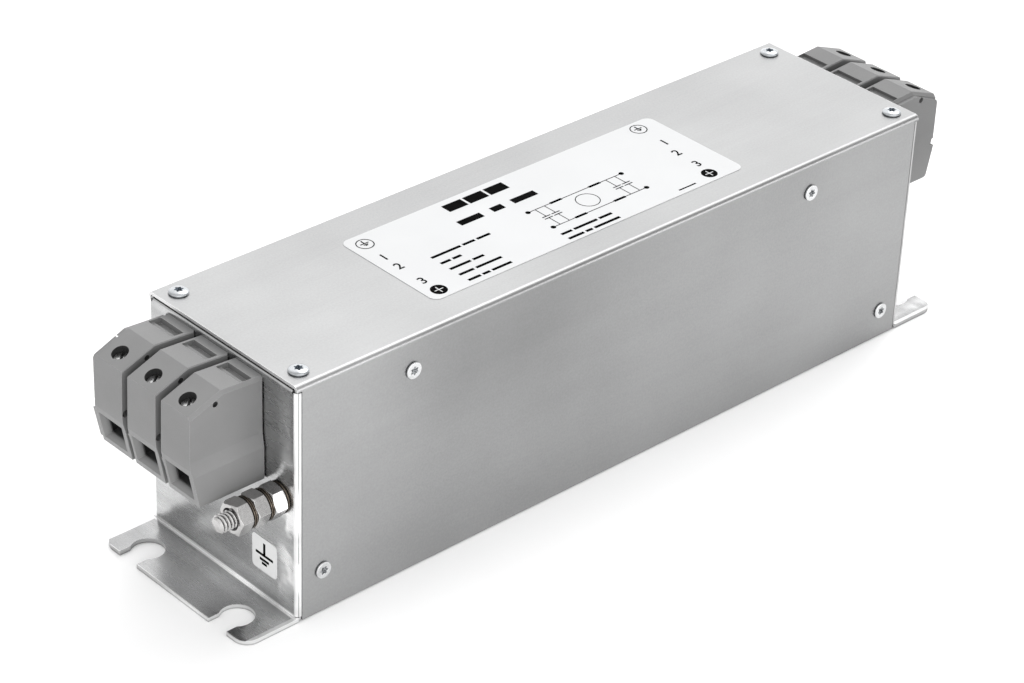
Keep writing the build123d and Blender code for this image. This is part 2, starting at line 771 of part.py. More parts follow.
def earth_set(end, name):
    y, z = stud_place(end)
    place = Pos(0, y * end, z)
    save(name + "_earth_stud", at_end(end, place * earth_stud()))
    nut = hex_nut(nut_flats, nut_height, stud_diameter + nut_bore_clearance)
    washer = ring(washer_outer, washer_bore, washer_thickness)
    nuts = []
    washers = [place * ring(washer_outer, washer_bore, base_washer_thickness)]
    x = base_washer_thickness + washer_gap
    for turn in nut_turns:
        nuts.append(place * Pos(x, 0, 0) * Rot(turn, 0, 0) * nut)
        x += nut_height + washer_gap
        if len(nuts) < len(nut_turns):
            for _ in range(washers_between):
                washers.append(place * Pos(x, 0, 0) * washer)
                x += washer_thickness + washer_gap
    group(name + "_earth_nuts", [at_end(end, part) for part in nuts])
    group(name + "_earth_washers", [at_end(end, part) for part in washers])


# Labels

def labels():
    sticker = extrude(RectangleRounded(rating_label_length, rating_label_width,
                                       rating_label_corner), amount=label_thickness)
    save("rating_label", Pos(rating_label_x, rating_label_y, case_height) * sticker)
    small = extrude(RectangleRounded(earth_label_height, earth_label_width,
                                     earth_label_corner), amount=label_thickness)
    place = Pos(0, half_width - earth_label_side, earth_label_z)
    save("line_earth_label", at_end(-1, place * Rot(0, 90, 0) * small))


# Circuit board, its supports and its components

def board_assembly():
    half_x, half_y = board_half_length, board_half_width
    board = box(-half_x, half_x, -half_y, half_y, board_bottom, board_top)
    sheet_half_x = half_x + board_end_gap - base_end_gap - base_flange_setback - insulator_end_gap
    sheet_half_y = flange_inner_y - insulator_side_gap
    sheet = box(-sheet_half_x, sheet_half_x, -sheet_half_y, sheet_half_y,
                base_sheet, base_sheet + insulator_thickness)
    standoffs = []
    screws = []
    for x, y in standoff_places:
        board -= rod(board_screw_shank + screw_clearance, (x, y, 0), (x, y, board_top + overrun))
        sheet -= rod(insulator_hole, (x, y, 0), (x, y, board_bottom))
        post = Pos(x, y, base_sheet) * extrude(
            RegularPolygon(standoff_flats / math.sqrt(3), 6), amount=standoff_height)
        post += rod(standoff_spigot, (x, y, 0), (x, y, base_sheet + root))
        post -= rod(standoff_hole, (x, y, board_bottom - board_screw_length),
                    (x, y, board_bottom + overrun))
        standoffs.append(post)
        head = rod(board_screw_head, (x, y, board_top), (x, y, board_top + board_screw_head_height))
        head = chamfer(head.edges().group_by(Axis.Z)[-1], board_screw_head_height / 3)
        shank = rod(board_screw_shank, (x, y, board_top + root),
                    (x, y, board_top - board_screw_length))
        screws.append(head + shank)
    save("circuit_board", board)
    save("insulating_sheet", sheet)
    group("board_standoffs", standoffs)
    group("board_screws", screws)


def choke():
    wire_reach = wire_gap + wire_diameter / 2
    core_bottom = board_top + choke_base_thickness + choke_base_gap + wire_diameter + wire_gap
    core_top = core_bottom + core_height
    core_section = RectangleRounded((core_outer - core_inner) / 2, core_height, core_round)
    core_middle = Pos((core_outer + core_inner) / 4, core_bottom + core_height / 2)
    save("choke_core", revolve(Plane.XZ * core_middle * core_section, Axis.Z))
    base_top = board_top + choke_base_thickness
    base = Pos(0, 0, board_top) * Cylinder(choke_base_radius, choke_base_thickness,
                                           align=(Align.CENTER, Align.CENTER, Align.MIN))
    divider = None
    for k in range(3):
        turn = Rot(0, 0, 120 * k)
        post = turn * box(core_inner / 2 + core_round, choke_base_radius, -pedestal_width / 2,
                          pedestal_width / 2, base_top - root, core_bottom)
        base += post
        vane = turn * box(0, core_inner / 2 - divider_gap, -divider_thickness / 2,
                          divider_thickness / 2, base_top, core_top)
        divider = vane if divider is None else divider + vane
    save("choke_base", base)
    save("phase_divider", divider)
    outer_r = core_outer / 2 + wire_reach
    inner_r = core_inner / 2 - wire_reach
    low, high = core_bottom - wire_reach, core_top + wire_reach
    first = 60 - turn_step * (turns - 0.5) / 2
    for k in range(3):
        points = winding_route(first + 120 * k, outer_r, inner_r, low, high)
        section = Plane(points[0], z_dir=points[1] - points[0]) * RegularPolygon(
            wire_diameter / 2, 8)
        path = Polyline(*points)
        save(f"choke_winding_{k + 1}", sweep(section, path=path, transition=Transition.RIGHT))


def winding_route(first, outer_r, inner_r, low, high):
    """Up outside the core, in over it, down its hole and out under it, turn after turn."""
    def point(radius, degrees, z):
        a = math.radians(degrees)
        return Vector(radius * math.cos(a), radius * math.sin(a), z)
    points = [point(outer_r, first, board_top)]
    for turn in range(turns):
        angle = first + turn_step * turn
        if turn > 0:
            points.append(point(outer_r, angle, low))
        points.append(point(outer_r, angle, high))
        points.append(point(inner_r, angle + turn_step / 4, high))
        points.append(point(inner_r, angle + turn_step / 4, low))
    last = first + turn_step * turns
    points.append(point(outer_r, last - turn_step / 2, low))
    points.append(point(outer_r, last - turn_step / 2, board_top))
    return points


def board_block(x, y, length, width, height):
    block = Pos(x, y, board_top + height / 2) * Box(length, width, height)
    return chamfer(block.edges().group_by(Axis.Z)[-1], cap_chamfer)


def discharge_resistor(x, y):
    """Round body on two wire legs that stand on the board."""
    z = board_top + resistor_lift + resistor_diameter / 2
    half_body, half_leads = resistor_length / 2, resistor_lead_spread / 2
    body = rod(resistor_diameter, (x, y - half_body, z), (x, y + half_body, z))
    for side in (-1, 1):
        outer = y + side * half_leads
        body += rod(resistor_lead, (x, y, z), (x, outer + side * resistor_lead / 2, z))
        body += rod(resistor_lead, (x, outer, z), (x, outer, board_top))
    return body


def components():
    for side, name in ((-1, "line"), (1, "load")):
        for number in (1, 2, 3):
            y = x_cap_pitch * (number - 2)
            save(f"{name}_x_capacitor_{number}",
                 board_block(side * x_cap_from_choke, y, x_cap_length, x_cap_width, x_cap_height))
    for number in (1, 2, 3):
        y = y_cap_pitch * (number - 2)
        save(f"y_capacitor_{number}",
             board_block(y_cap_from_choke, y, y_cap_length, y_cap_width, y_cap_height))
        x = -resistor_from_choke - resistor_pitch * (number - 2)
        save(f"discharge_resistor_{number}", discharge_resistor(x, 0))


os.makedirs("parts", exist_ok=True)
save("cover", cover())
save("line_end_plate", end_plate(-1))
save("load_end_plate", end_plate(1))
save("base_plate", base_plate())
save("line_brace", brace(brace_places[0]))
save("load_brace", brace(brace_places[1]))
case_screws()
terminals()
earth_set(-1, "line")
earth_set(1, "load")
labels()
board_assembly()
choke()
components()
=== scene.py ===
import bmesh
import bpy
import numpy as np
from math import cos, pi, radians
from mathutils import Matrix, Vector


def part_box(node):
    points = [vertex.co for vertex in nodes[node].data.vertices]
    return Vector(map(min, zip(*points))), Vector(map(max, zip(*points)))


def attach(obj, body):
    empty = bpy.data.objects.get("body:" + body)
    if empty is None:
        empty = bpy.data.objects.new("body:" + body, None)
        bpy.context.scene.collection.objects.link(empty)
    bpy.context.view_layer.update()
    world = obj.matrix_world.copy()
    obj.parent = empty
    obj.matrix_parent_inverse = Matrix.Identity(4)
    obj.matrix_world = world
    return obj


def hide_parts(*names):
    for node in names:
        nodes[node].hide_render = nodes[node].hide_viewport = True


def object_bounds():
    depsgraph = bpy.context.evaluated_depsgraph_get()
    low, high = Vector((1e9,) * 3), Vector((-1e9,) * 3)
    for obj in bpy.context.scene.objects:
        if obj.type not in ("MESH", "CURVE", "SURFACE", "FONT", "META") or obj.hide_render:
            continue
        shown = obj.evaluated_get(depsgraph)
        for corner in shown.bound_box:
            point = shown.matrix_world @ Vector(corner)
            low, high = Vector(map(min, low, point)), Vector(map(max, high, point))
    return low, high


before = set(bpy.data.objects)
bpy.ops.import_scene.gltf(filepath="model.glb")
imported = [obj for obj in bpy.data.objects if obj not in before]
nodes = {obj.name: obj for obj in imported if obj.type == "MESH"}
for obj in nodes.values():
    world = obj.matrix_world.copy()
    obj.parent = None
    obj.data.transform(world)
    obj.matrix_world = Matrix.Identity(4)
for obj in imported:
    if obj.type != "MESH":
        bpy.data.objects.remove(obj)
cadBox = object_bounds()
mm = 0.001
# Half the case's length in mm, which is where both walls' outer faces are
halfLength = 135.0
print("frame loaded,", len(nodes), "CAD nodes")


# Shader helpers. A node takes its settings by name, and each input is a value or another node's socket
def addNode(tree, kind, inputs=None, **settings):
    made = tree.nodes.new(kind)
    for name, value in settings.items():
        setattr(made, name, value)
    for name, value in (inputs or {}).items():
        if isinstance(value, bpy.types.NodeSocket):
            tree.links.new(value, made.inputs[name])
        else:
            made.inputs[name].default_value = value
    return made


def mathNode(tree, operation, first, second=0.0, third=0.0):
    return addNode(tree, "ShaderNodeMath", {0: first, 1: second, 2: third}, operation=operation).outputs[0]


def vectorMath(tree, operation, inputs, output=0):
    return addNode(tree, "ShaderNodeVectorMath", inputs, operation=operation).outputs[output]


def scaledNoise(tree, vector, scale, detail, roughness):
    return addNode(tree, "ShaderNodeTexNoise", {"Vector": vector, "Scale": scale, "Detail": detail,
                                                "Roughness": roughness}).outputs["Fac"]


# Low at the start and high at the end, held beyond them
def remap(tree, value, low, high, start=0.0, end=1.0, curve="LINEAR"):
    return addNode(tree, "ShaderNodeMapRange",
                   {"Value": value, "From Min": start, "From Max": end, "To Min": low, "To Max": high},
                   clamp=True, interpolation_type=curve).outputs["Result"]


def mixColour(tree, share, first, second, blend="MIX"):
    return addNode(tree, "ShaderNodeMix", {0: share, 6: first, 7: second}, data_type="RGBA",
                   blend_type=blend).outputs[2]


def axes(tree, vector):
    return addNode(tree, "ShaderNodeSeparateXYZ", {"Vector": vector}).outputs


def objectPlace(tree):
    return addNode(tree, "ShaderNodeTexCoord").outputs["Object"]


def stretched(tree, vector, scale):
    return addNode(tree, "ShaderNodeMapping", {"Vector": vector, "Scale": scale}).outputs["Vector"]


def grey(value, warm=0.0):
    return (value * (1 + warm), value, value * (1 - warm), 1.0)


def newMaterial(name, **constants):
    material = bpy.data.materials.new(name)
    material.use_nodes = True
    shader = material.node_tree.nodes["Principled BSDF"]
    for socket, value in constants.items():
        shader.inputs[socket.replace("_", " ")].default_value = value
    return material, material.node_tree, shader


# Effects that several materials share are groups, with vectors and numbers going in and numbers coming out
def newGroup(name, vectors, numbers, results):
    group = bpy.data.node_groups.new(name, "ShaderNodeTree")
    for sockets, direction, kind in ((vectors, "INPUT", "NodeSocketVector"),
                                     (numbers, "INPUT", "NodeSocketFloat"),
                                     (results, "OUTPUT", "NodeSocketFloat")):
        for socket in sockets:
            group.interface.new_socket(name=socket, in_out=direction, socket_type=kind)
    start = group.nodes.new("NodeGroupInput")
    end = group.nodes.new("NodeGroupOutput")
    return group, start.outputs, end.inputs


def placeGroup(tree, group, inputs):
    return addNode(tree, "ShaderNodeGroup", inputs, node_tree=group).outputs


# Noises as detail and roughness, the mottle's scale in cells per metre, and the part of a noise's range
# that tones and roughness use
noise = {"lines": (4.0, 0.6), "streaks": (3.0, 0.6), "cloud": (3.0, 0.5), "mottle": (2.0, 0.5),
         "tone": (3.0, 0.55), "grain": (2.0, 0.6), "blotch": (2.0, 0.5), "mottleScale": 1500.0,
         "sheetRange": (0.36, 0.64), "metalRange": (0.35, 0.65), "plainRange": (0.3, 0.7)}


# Rolled sheet: fine lines and broad streaks along the rolling direction, a slow cloud and a mottle
def rolledSheetGroup():
    group, given, result = newGroup("rolledSheet", ["Place", "Lines", "Streaks"], ["Cloud Scale"],
                                    ["Lines", "Streaks", "Cloud", "Mottle"])
    place = given["Place"]
    group.links.new(scaledNoise(group, given["Lines"], 1.0, *noise["lines"]), result["Lines"])
    group.links.new(scaledNoise(group, given["Streaks"], 1.0, *noise["streaks"]), result["Streaks"])
    group.links.new(scaledNoise(group, place, given["Cloud Scale"], *noise["cloud"]), result["Cloud"])
    group.links.new(scaledNoise(group, place, noise["mottleScale"], *noise["mottle"]), result["Mottle"])
    return group


# Plain machined or moulded part: two noises, one for tone and one for fine height
def fineGrainGroup():
    group, given, result = newGroup("fineGrain", ["Place"], ["Tone Scale", "Grain Scale"], ["Tone", "Grain"])
    group.links.new(scaledNoise(group, given["Place"], given["Tone Scale"], *noise["tone"]), result["Tone"])
    group.links.new(scaledNoise(group, given["Place"], given["Grain Scale"], *noise["grain"]),
                    result["Grain"])
    return group


# Cut edge or fold: a share that is 0 up to a limit and 1 past its width
def cutEdgeGroup():
    group, given, result = newGroup("cutEdge", [], ["Way", "Limit", "Width"], ["Share"])
    far = mathNode(group, "ADD", given["Limit"], given["Width"])
    group.links.new(remap(group, given["Way"], 0.0, 1.0, given["Limit"], far), result["Share"])
    return group


# Slow change of tone for painted light and shade: the tone so far x (1 + gate x (tone on the way - 1)),
# where the tone on the way goes from first to last between start and end
def paintedShadingGroup():
    group, given, result = newGroup("paintedShading", [], ["So Far", "Way", "Start", "End", "First", "Last",
                                                       "Gate"], ["Tone"])
    onWay = remap(group, given["Way"], given["First"], given["Last"], given["Start"], given["End"])
    change = mathNode(group, "SUBTRACT", onWay, 1.0)
    tone = mathNode(group, "MULTIPLY_ADD", change, given["Gate"], 1.0)
    group.links.new(mathNode(group, "MULTIPLY", tone, given["So Far"]), result["Tone"])
    return group


# The terminals' section in mm: each plane is a normal and a point (out, up) that it goes through, out
# from the wall's face and up from the base; then the modules across the row, the marker slots, and the
# screw's bore with the direction across it
terminal = {"face": halfLength, "base": 45.4, "rowLow": -19.9, "rowHigh": 25.9,
            "planes": [((-0.0603, 0.0, 0.9982), (14.9, 36.1)), ((0.358, 0.0, 0.934), (14.9, 36.1)),
                       ((0.9996, 0.0, 0.0279), (27.4, 13.6)), ((0.9795, 0.0, -0.2017), (27.4, 13.6)),
                       ((0.0, 0.0, -1.0), (0.0, 0.0))],
            "middle": 3.0, "pitch": 16.3, "inner": 6.6, "gapEase": 0.62, "slotOut": 14.5, "slotUp": 33.0,
            "slotEase": 0.9, "bore": (22.4, 0.0, 33.2), "boreAcross": (0.9795, 0.0, -0.2017),
            "boreRadius": 2.78, "boreFoot": 8.0}


# 1 where the value lies over the low and under the high limit
def between(tree, value, low, high):
    return mathNode(tree, "MULTIPLY", mathNode(tree, "GREATER_THAN", value, low),
                    mathNode(tree, "LESS_THAN", value, high))


# Least distance to the planes of the terminals' section, taken along their normals
def depthInside(group, section):
    depth = None
    for normal, point in terminal["planes"]:
        along = vectorMath(group, "DOT_PRODUCT", {0: section, 1: normal}, "Value")
        inside = mathNode(group, "SUBTRACT", normal[0] * point[0] + normal[2] * point[1], along)
        depth = inside if depth is None else mathNode(group, "MINIMUM", depth, inside)
    return depth


# 1 within the radius of the screw's bore, over its foot
def boreShare(group, section, across, up):
    shifted = vectorMath(group, "SUBTRACT", {0: section, 1: terminal["bore"]})
    side = vectorMath(group, "DOT_PRODUCT", {0: shifted, 1: terminal["boreAcross"]}, "Value")
    fromAxis = addNode(group, "ShaderNodeCombineXYZ", {"X": side, "Y": across}).outputs[0]
    reach = vectorMath(group, "LENGTH", {0: fromAxis}, "Value")
    return mathNode(group, "MULTIPLY", mathNode(group, "LESS_THAN", reach, terminal["boreRadius"]),
                    mathNode(group, "GREATER_THAN", up, terminal["boreFoot"]))


# Shade inside the terminals: 1 at the outline, falling with the depth inside it until the least at To;
# it falls less in the gaps from module to module and in the marker slots, and fully in the bores
def insideShadeGroup():
    group, given, result = newGroup("insideShade", ["Place"], ["From", "To", "Least"], ["Shade"])
    place = axes(group, vectorMath(group, "SCALE", {0: given["Place"], 3: 1 / mm}))
    out = mathNode(group, "SUBTRACT", mathNode(group, "ABSOLUTE", place["X"]), terminal["face"])
    up = mathNode(group, "SUBTRACT", place["Z"], terminal["base"])
    section = addNode(group, "ShaderNodeCombineXYZ", {"X": out, "Z": up}).outputs[0]
    fall = remap(group, depthInside(group, section), 0.0, 1.0, given["From"], given["To"], "SMOOTHSTEP")
    half = terminal["pitch"] / 2
    fromMiddle = mathNode(group, "SUBTRACT", place["Y"], terminal["middle"])
    across = mathNode(group, "ABSOLUTE", mathNode(group, "WRAP", fromMiddle, half, -half))
    gap = mathNode(group, "GREATER_THAN", across, terminal["inner"])
    slot = mathNode(group, "MULTIPLY", mathNode(group, "LESS_THAN", out, terminal["slotOut"]),
                    mathNode(group, "GREATER_THAN", up, terminal["slotUp"]))
    ease = mathNode(group, "MAXIMUM", mathNode(group, "MULTIPLY", gap, terminal["gapEase"]),
                    mathNode(group, "MULTIPLY", slot, terminal["slotEase"]))
    fall = mathNode(group, "MULTIPLY", fall, mathNode(group, "SUBTRACT", 1.0, ease))
    fall = mathNode(group, "MAXIMUM", fall, boreShare(group, section, across, up))
    row = between(group, place["Y"], terminal["rowLow"], terminal["rowHigh"])
    share = mathNode(group, "MULTIPLY", mathNode(group, "MULTIPLY", fall, row),
                     mathNode(group, "SUBTRACT", 1.0, given["Least"]))
    group.links.new(mathNode(group, "SUBTRACT", 1.0, share), result["Shade"])
    return group


rolledSheet = rolledSheetGroup()
fineGrain = fineGrainGroup()
cutEdge = cutEdgeGroup()
paintedShading = paintedShadingGroup()
insideShade = insideShadeGroup()


# Height to normal over rounded edges: bevelled normal first, then the bump on it
def finishNormal(tree, shader, height, look):
    rounded = addNode(tree, "ShaderNodeBevel", {"Radius": look["edge"]}, samples=4).outputs["Normal"]
    bump = addNode(tree, "ShaderNodeBump", {"Strength": 1.0, "Distance": look["depth"], "Height": height,
                                            "Normal": rounded})
    tree.links.new(bump.outputs["Normal"], shader.inputs["Normal"])


# The cut edge's share for one value, 0 at the limit and 1 at the limit + width
def past(tree, value, limit, width=0.0002):
    return placeGroup(tree, cutEdge, {"Way": value, "Limit": limit, "Width": width})["Share"]


# Slow changes of tone as painted light and shade, one after another, each along an axis from one place and
# tone to the next, and only where all its gates (axis, shut, wide) are open
def paintedShadingTone(tree, place, changes):
    way = axes(tree, place)
    tone = 1.0
    for axis, start, end, first, last, gates in changes:
        gate = 1.0
        for gateAxis, shut, wide in gates:
            gate = mathNode(tree, "MULTIPLY", remap(tree, way[gateAxis], 0.0, 1.0, shut, wide), gate)
        tone = placeGroup(tree, paintedShading, {"So Far": tone, "Way": way[axis], "Start": start, "End": end,
                                             "First": first, "Last": last, "Gate": gate})["Tone"]
    return tone


# Painted light and shade at the wall's corner: a painted shadow line where the fold meets the side lip,
# painted shade in the seam under the cover, blotchy painted glints beside the fold, and a painted highlight
# along the foot's fold
def paintedCornerLight(tree, place, colour, corner):
    way = axes(tree, place)
    alongCase, across = (mathNode(tree, "ABSOLUTE", way[axis]) for axis in ("X", "Y"))
    line = mathNode(tree, "MULTIPLY", past(tree, across, corner["lineFrom"], corner["sharp"]),
                    mathNode(tree, "COMPARE", alongCase, corner["lineAt"], corner["lineHalf"]))
    colour = mixColour(tree, line, colour, grey(corner["shadowLineTone"]))
    colour = mixColour(tree, past(tree, way["Z"], corner["seamFrom"], corner["sharp"]), colour,
                       grey(corner["seamShadeTone"]))
    blotch = scaledNoise(tree, place, corner["glintScale"], *noise["blotch"])
    glint = remap(tree, blotch, 0.0, 1.0, *corner["glintNoise"])
    for axis, gate in (("Y", "glintAcross"), ("Z", "glintUp"), ("Z", "glintFoot")):
        glint = mathNode(tree, "MULTIPLY", glint, remap(tree, way[axis], 0.0, 1.0, *corner[gate]))
    colour = mixColour(tree, glint, colour, grey(corner["glintTone"]))
    fold = mathNode(tree, "MULTIPLY", mathNode(tree, "COMPARE", alongCase, *corner["foldOut"]),
                    mathNode(tree, "COMPARE", way["Z"], *corner["foldUp"]))
    return mixColour(tree, fold, colour, grey(corner["foldHighlightTone"]))


# The wall's gentle fall towards its fold, uneven with the cloud
def cornerSlope(tree, place, cloud, corner):
    across = mathNode(tree, "ABSOLUTE", axes(tree, place)["Y"])
    slope = remap(tree, across, 0.0, -corner["bendHeight"], corner["bendFrom"], corner["bendTo"],
                  "SMOOTHSTEP")
    return mathNode(tree, "MULTIPLY", slope, remap(tree, cloud, *corner["bendShares"], *corner["bendCloud"]))


# Steel sheet: tone = cloud + streaks + mottle between two greys, a lighter tone at folds and cut edges as a
# painted highlight; roughness follows cloud and lines; height = lines + mottle + a slow wave. A limit is
# (axis, place, tone): past it in |X| or |Y|, or, where it is negative, under its height in Z
def steelSheet(name, lines, streaks, look, limits=(), corner=None, changes=()):
    material, tree, shader = newMaterial(name, Metallic=1.0)
    place = objectPlace(tree)
    effect = placeGroup(tree, rolledSheet, {"Place": place, "Lines": stretched(tree, place, lines),
                                            "Streaks": stretched(tree, place, streaks),
                                            "Cloud Scale": look["cloudScale"]})
    tone = mathNode(tree, "MULTIPLY", effect["Cloud"], look["cloudShare"])
    tone = mathNode(tree, "MULTIPLY_ADD", effect["Streaks"], look["streakShare"], tone)
    tone = mathNode(tree, "MULTIPLY_ADD", effect["Mottle"], look["mottleShare"], tone)
    colour = mixColour(tree, remap(tree, tone, 0.0, 1.0, *noise["sheetRange"]), look["dark"], look["light"])
    mean = mathNode(tree, "MULTIPLY", mathNode(tree, "ADD", effect["Lines"], effect["Cloud"]), 0.5)
    rough = remap(tree, mean, look["smooth"], look["rough"], *noise["plainRange"])
    way = axes(tree, place)
    for axis, limit, edgeHighlightTone in limits:
        outward = (mathNode(tree, "MULTIPLY", way[axis], -1.0) if limit < 0
                   else mathNode(tree, "ABSOLUTE", way[axis]))
        share = past(tree, outward, limit)
        colour = mixColour(tree, share, colour, grey(edgeHighlightTone))
        rough = mathNode(tree, "MULTIPLY_ADD", share, look["edgeRough"], rough)
    height = mathNode(tree, "MULTIPLY_ADD", effect["Mottle"], look["mottleHeight"], effect["Lines"])
    height = mathNode(tree, "MULTIPLY_ADD", effect["Cloud"], look["waveHeight"], height)
    if corner:
        colour = paintedCornerLight(tree, place, colour, corner)
        height = mathNode(tree, "ADD", height, cornerSlope(tree, place, effect["Cloud"], corner))
    if changes:
        colour = mixColour(tree, 1.0, colour, paintedShadingTone(tree, place, changes), "MULTIPLY")
    tree.links.new(colour, shader.inputs["Base Color"])
    tree.links.new(rough, shader.inputs["Roughness"])
    finishNormal(tree, shader, height, look)
    return material


# Share of a painted highlight line round the middle of each washer's rim, by the way out from the wall:
# | |wrapped way| - half the washers' spacing |
def rimShare(tree, place, rims):
    way = mathNode(tree, "SUBTRACT", mathNode(tree, "ABSOLUTE", axes(tree, place)["X"]), rims["between"])
    half = rims["every"] / 2
    wrapped = mathNode(tree, "ABSOLUTE", mathNode(tree, "WRAP", way, half, -half))
    offset = mathNode(tree, "ABSOLUTE", mathNode(tree, "SUBTRACT", wrapped, rims["spacing"] / 2))
    return remap(tree, offset, 1.0, 0.0, *rims["line"])


# Solid metal such as screws, nuts and bars: tone and roughness from one noise, height from the other;
# where rims are given, painted shade darkens it between their painted highlight lines
def solidMetal(name, look, rims=None):
    material, tree, shader = newMaterial(name, Metallic=1.0)
    place = objectPlace(tree)
    effect = placeGroup(tree, fineGrain, {"Place": place, "Tone Scale": look["toneScale"],
                                          "Grain Scale": look["grainScale"]})
    tone = remap(tree, effect["Tone"], 0.0, 1.0, *noise["metalRange"])
    colour = mixColour(tree, tone, look["dark"], look["light"])
    if rims:
        colour = mixColour(tree, rimShare(tree, place, rims), rims["dark"], colour)
    tree.links.new(colour, shader.inputs["Base Color"])
    tree.links.new(remap(tree, effect["Tone"], look["smooth"], look["rough"], *noise["plainRange"]),
                   shader.inputs["Roughness"])
    finishNormal(tree, shader, effect["Grain"], look)
    return material


# Share of a convex edge, for a painted edge highlight: how far the bevelled normal turns from the plain one
def edgeTurn(tree, shade):
    plain = tree.nodes.new("ShaderNodeNewGeometry").outputs["Normal"]
    rounded = addNode(tree, "ShaderNodeBevel", {"Radius": shade["edgeWidth"]}, samples=4).outputs["Normal"]
    turn = vectorMath(tree, "DOT_PRODUCT", {0: plain, 1: rounded}, "Value")
    return remap(tree, turn, 1.0, 0.0, *shade["edgeTurn"])


# Plastic, film, lacquer and ink: no metal, tone from one noise, roughness and height from the other;
# where a shade is asked for, tone falls as painted shade and roughness grows with the depth inside the
# terminals, and their edges are lighter as a painted highlight
def plastic(name, look, shade=None, changes=(), **constants):
    material, tree, shader = newMaterial(name, **constants)
    place = objectPlace(tree)
    effect = placeGroup(tree, fineGrain, {"Place": place, "Tone Scale": look["toneScale"],
                                          "Grain Scale": look["grainScale"]})
    tone = remap(tree, effect["Tone"], 0.0, 1.0, *noise["plainRange"])
    colour = mixColour(tree, tone, look["dark"], look["light"])
    rough = remap(tree, effect["Grain"], look["smooth"], look["rough"], *noise["plainRange"])
    if shade:
        inside = placeGroup(tree, insideShade, {"Place": place, "From": shade["from"], "To": shade["to"],
                                                "Least": shade["least"]})["Shade"]
        colour = mixColour(tree, inside, grey(0.0), colour)
        edge = mathNode(tree, "MULTIPLY", edgeTurn(tree, shade), inside)
        colour = mixColour(tree, edge, colour, grey(shade["edgeHighlightTone"]))
        rough = mathNode(tree, "MULTIPLY_ADD", mathNode(tree, "SUBTRACT", 1.0, inside),
                         shade["roughInside"], rough)
    if changes:
        colour = mixColour(tree, 1.0, colour, paintedShadingTone(tree, place, changes), "MULTIPLY")
    tree.links.new(colour, shader.inputs["Base Color"])
    tree.links.new(rough, shader.inputs["Roughness"])
    finishNormal(tree, shader, effect["Grain"], look)
    return material


# Looks: two tones, two roughnesses, noise scales in cells per metre, grain depth and edge radius in metres
coverLook = {"dark": grey(0.292, -0.004), "light": grey(0.352, -0.004), "smooth": 0.32, "rough": 0.42,
             "cloudScale": 16.0, "cloudShare": 0.55, "streakShare": 0.13, "mottleShare": 0.32,
             "mottleHeight": 0.8, "waveHeight": 1.5, "depth": 0.000003, "edge": 0.00012,
             "edgeRough": 0.15}
wallLook = {"dark": grey(0.34, -0.004), "light": grey(0.55, -0.004), "smooth": 0.20, "rough": 0.33,
            "cloudScale": 34.0, "cloudShare": 0.5, "streakShare": 0.35, "mottleShare": 0.15,
            "mottleHeight": 0.2, "waveHeight": 30.0, "depth": 0.0000015, "edge": 0.00012,
            "edgeRough": 0.08}
# The other looks as rows of the same values: the two tones, the two roughnesses, the tone's and the
# grain's scale, the grain's depth and the edge's radius
lookKeys = ("dark", "light", "smooth", "rough", "toneScale", "grainScale", "depth", "edge")
metalLooks = {
    "zincPlate": ((0.38, 0.395, 0.41, 1), (0.47, 0.485, 0.50, 1), 0.12, 0.22, 400, 3000, 1e-6, 8e-5),
    # Painted shade darkens the screws' recesses
    "recessZinc": ((0.045, 0.055, 0.068, 1), (0.13, 0.15, 0.175, 1), 0.22, 0.40, 900, 3000, 1e-6, 5e-5),
    # A lit copy of the zinc for the side screws, lighter as painted light; their recess is painted shade
    "sideZinc": ((0.60, 0.605, 0.61, 1), (0.72, 0.725, 0.73, 1), 0.16, 0.26, 400, 3000, 1e-6, 8e-5),
    "sideRecess": ((0.10, 0.105, 0.11, 1), (0.36, 0.37, 0.38, 1), 0.20, 0.40, 900, 3000, 1e-6, 5e-5),
    # Painted shade for the thread's roots and the nuts' bores
    "threadRoot": (grey(0.06), grey(0.10), 0.30, 0.45, 900, 3000, 1e-6, 5e-5),
    "clampScrew": (grey(0.62), grey(0.78), 0.20, 0.35, 400, 2000, 2e-6, 1e-4),
    "nickelPlate": (grey(0.47, 0.012), grey(0.51, 0.010), 0.19, 0.21, 900, 2500, 4e-7, 1.3e-4),
    "bronzedWasher": ((0.12, 0.097, 0.075, 1), (0.24, 0.20, 0.16, 1), 0.18, 0.30, 900, 2500, 1e-6, 6e-5),
    "clampSteel": (grey(0.30), grey(0.42), 0.12, 0.24, 300, 2000, 5e-6, 1e-4),
    "tinnedBar": (grey(0.55, 0.02), grey(0.68, 0.02), 0.25, 0.40, 200, 2000, 5e-6, 1e-4),
    "turnedBrass": ((0.60, 0.44, 0.18, 1), (0.78, 0.62, 0.30, 1), 0.20, 0.35, 300, 2500, 4e-6, 1e-4),
    "enamelWire": ((0.42, 0.14, 0.04, 1), (0.60, 0.24, 0.08, 1), 0.18, 0.30, 120, 1500, 6e-6, 4e-4)}
plainLooks = {
    "labelFilm": ((0.515, 0.52, 0.525, 1), (0.545, 0.55, 0.555, 1), 0.34, 0.44, 25, 1200, 3e-6, 3e-5),
    "smallFilm": (grey(0.70), grey(0.74), 0.34, 0.44, 60, 1200, 2e-6, 3e-5),
    "laminate": ((0.02, 0.10, 0.04, 1), (0.03, 0.14, 0.06, 1), 0.30, 0.45, 80, 1500, 8e-6, 1e-4),
    "insulator": ((0.55, 0.52, 0.42, 1), (0.62, 0.59, 0.49, 1), 0.35, 0.50, 60, 1500, 4e-6, 1e-4),
    "coatedCore": (grey(0.03), grey(0.05), 0.35, 0.55, 90, 900, 3e-5, 3e-4),
    "chokePlastic": (grey(0.02), grey(0.03), 0.45, 0.60, 90, 1500, 1e-5, 2e-4),
    "capacitorCase": ((0.50, 0.33, 0.03, 1), (0.58, 0.40, 0.05, 1), 0.35, 0.50, 60, 1200, 1e-5, 3e-4),
    "resistorBody": ((0.10, 0.20, 0.32, 1), (0.14, 0.26, 0.40, 1), 0.25, 0.40, 150, 1500, 1e-5, 2e-4)}
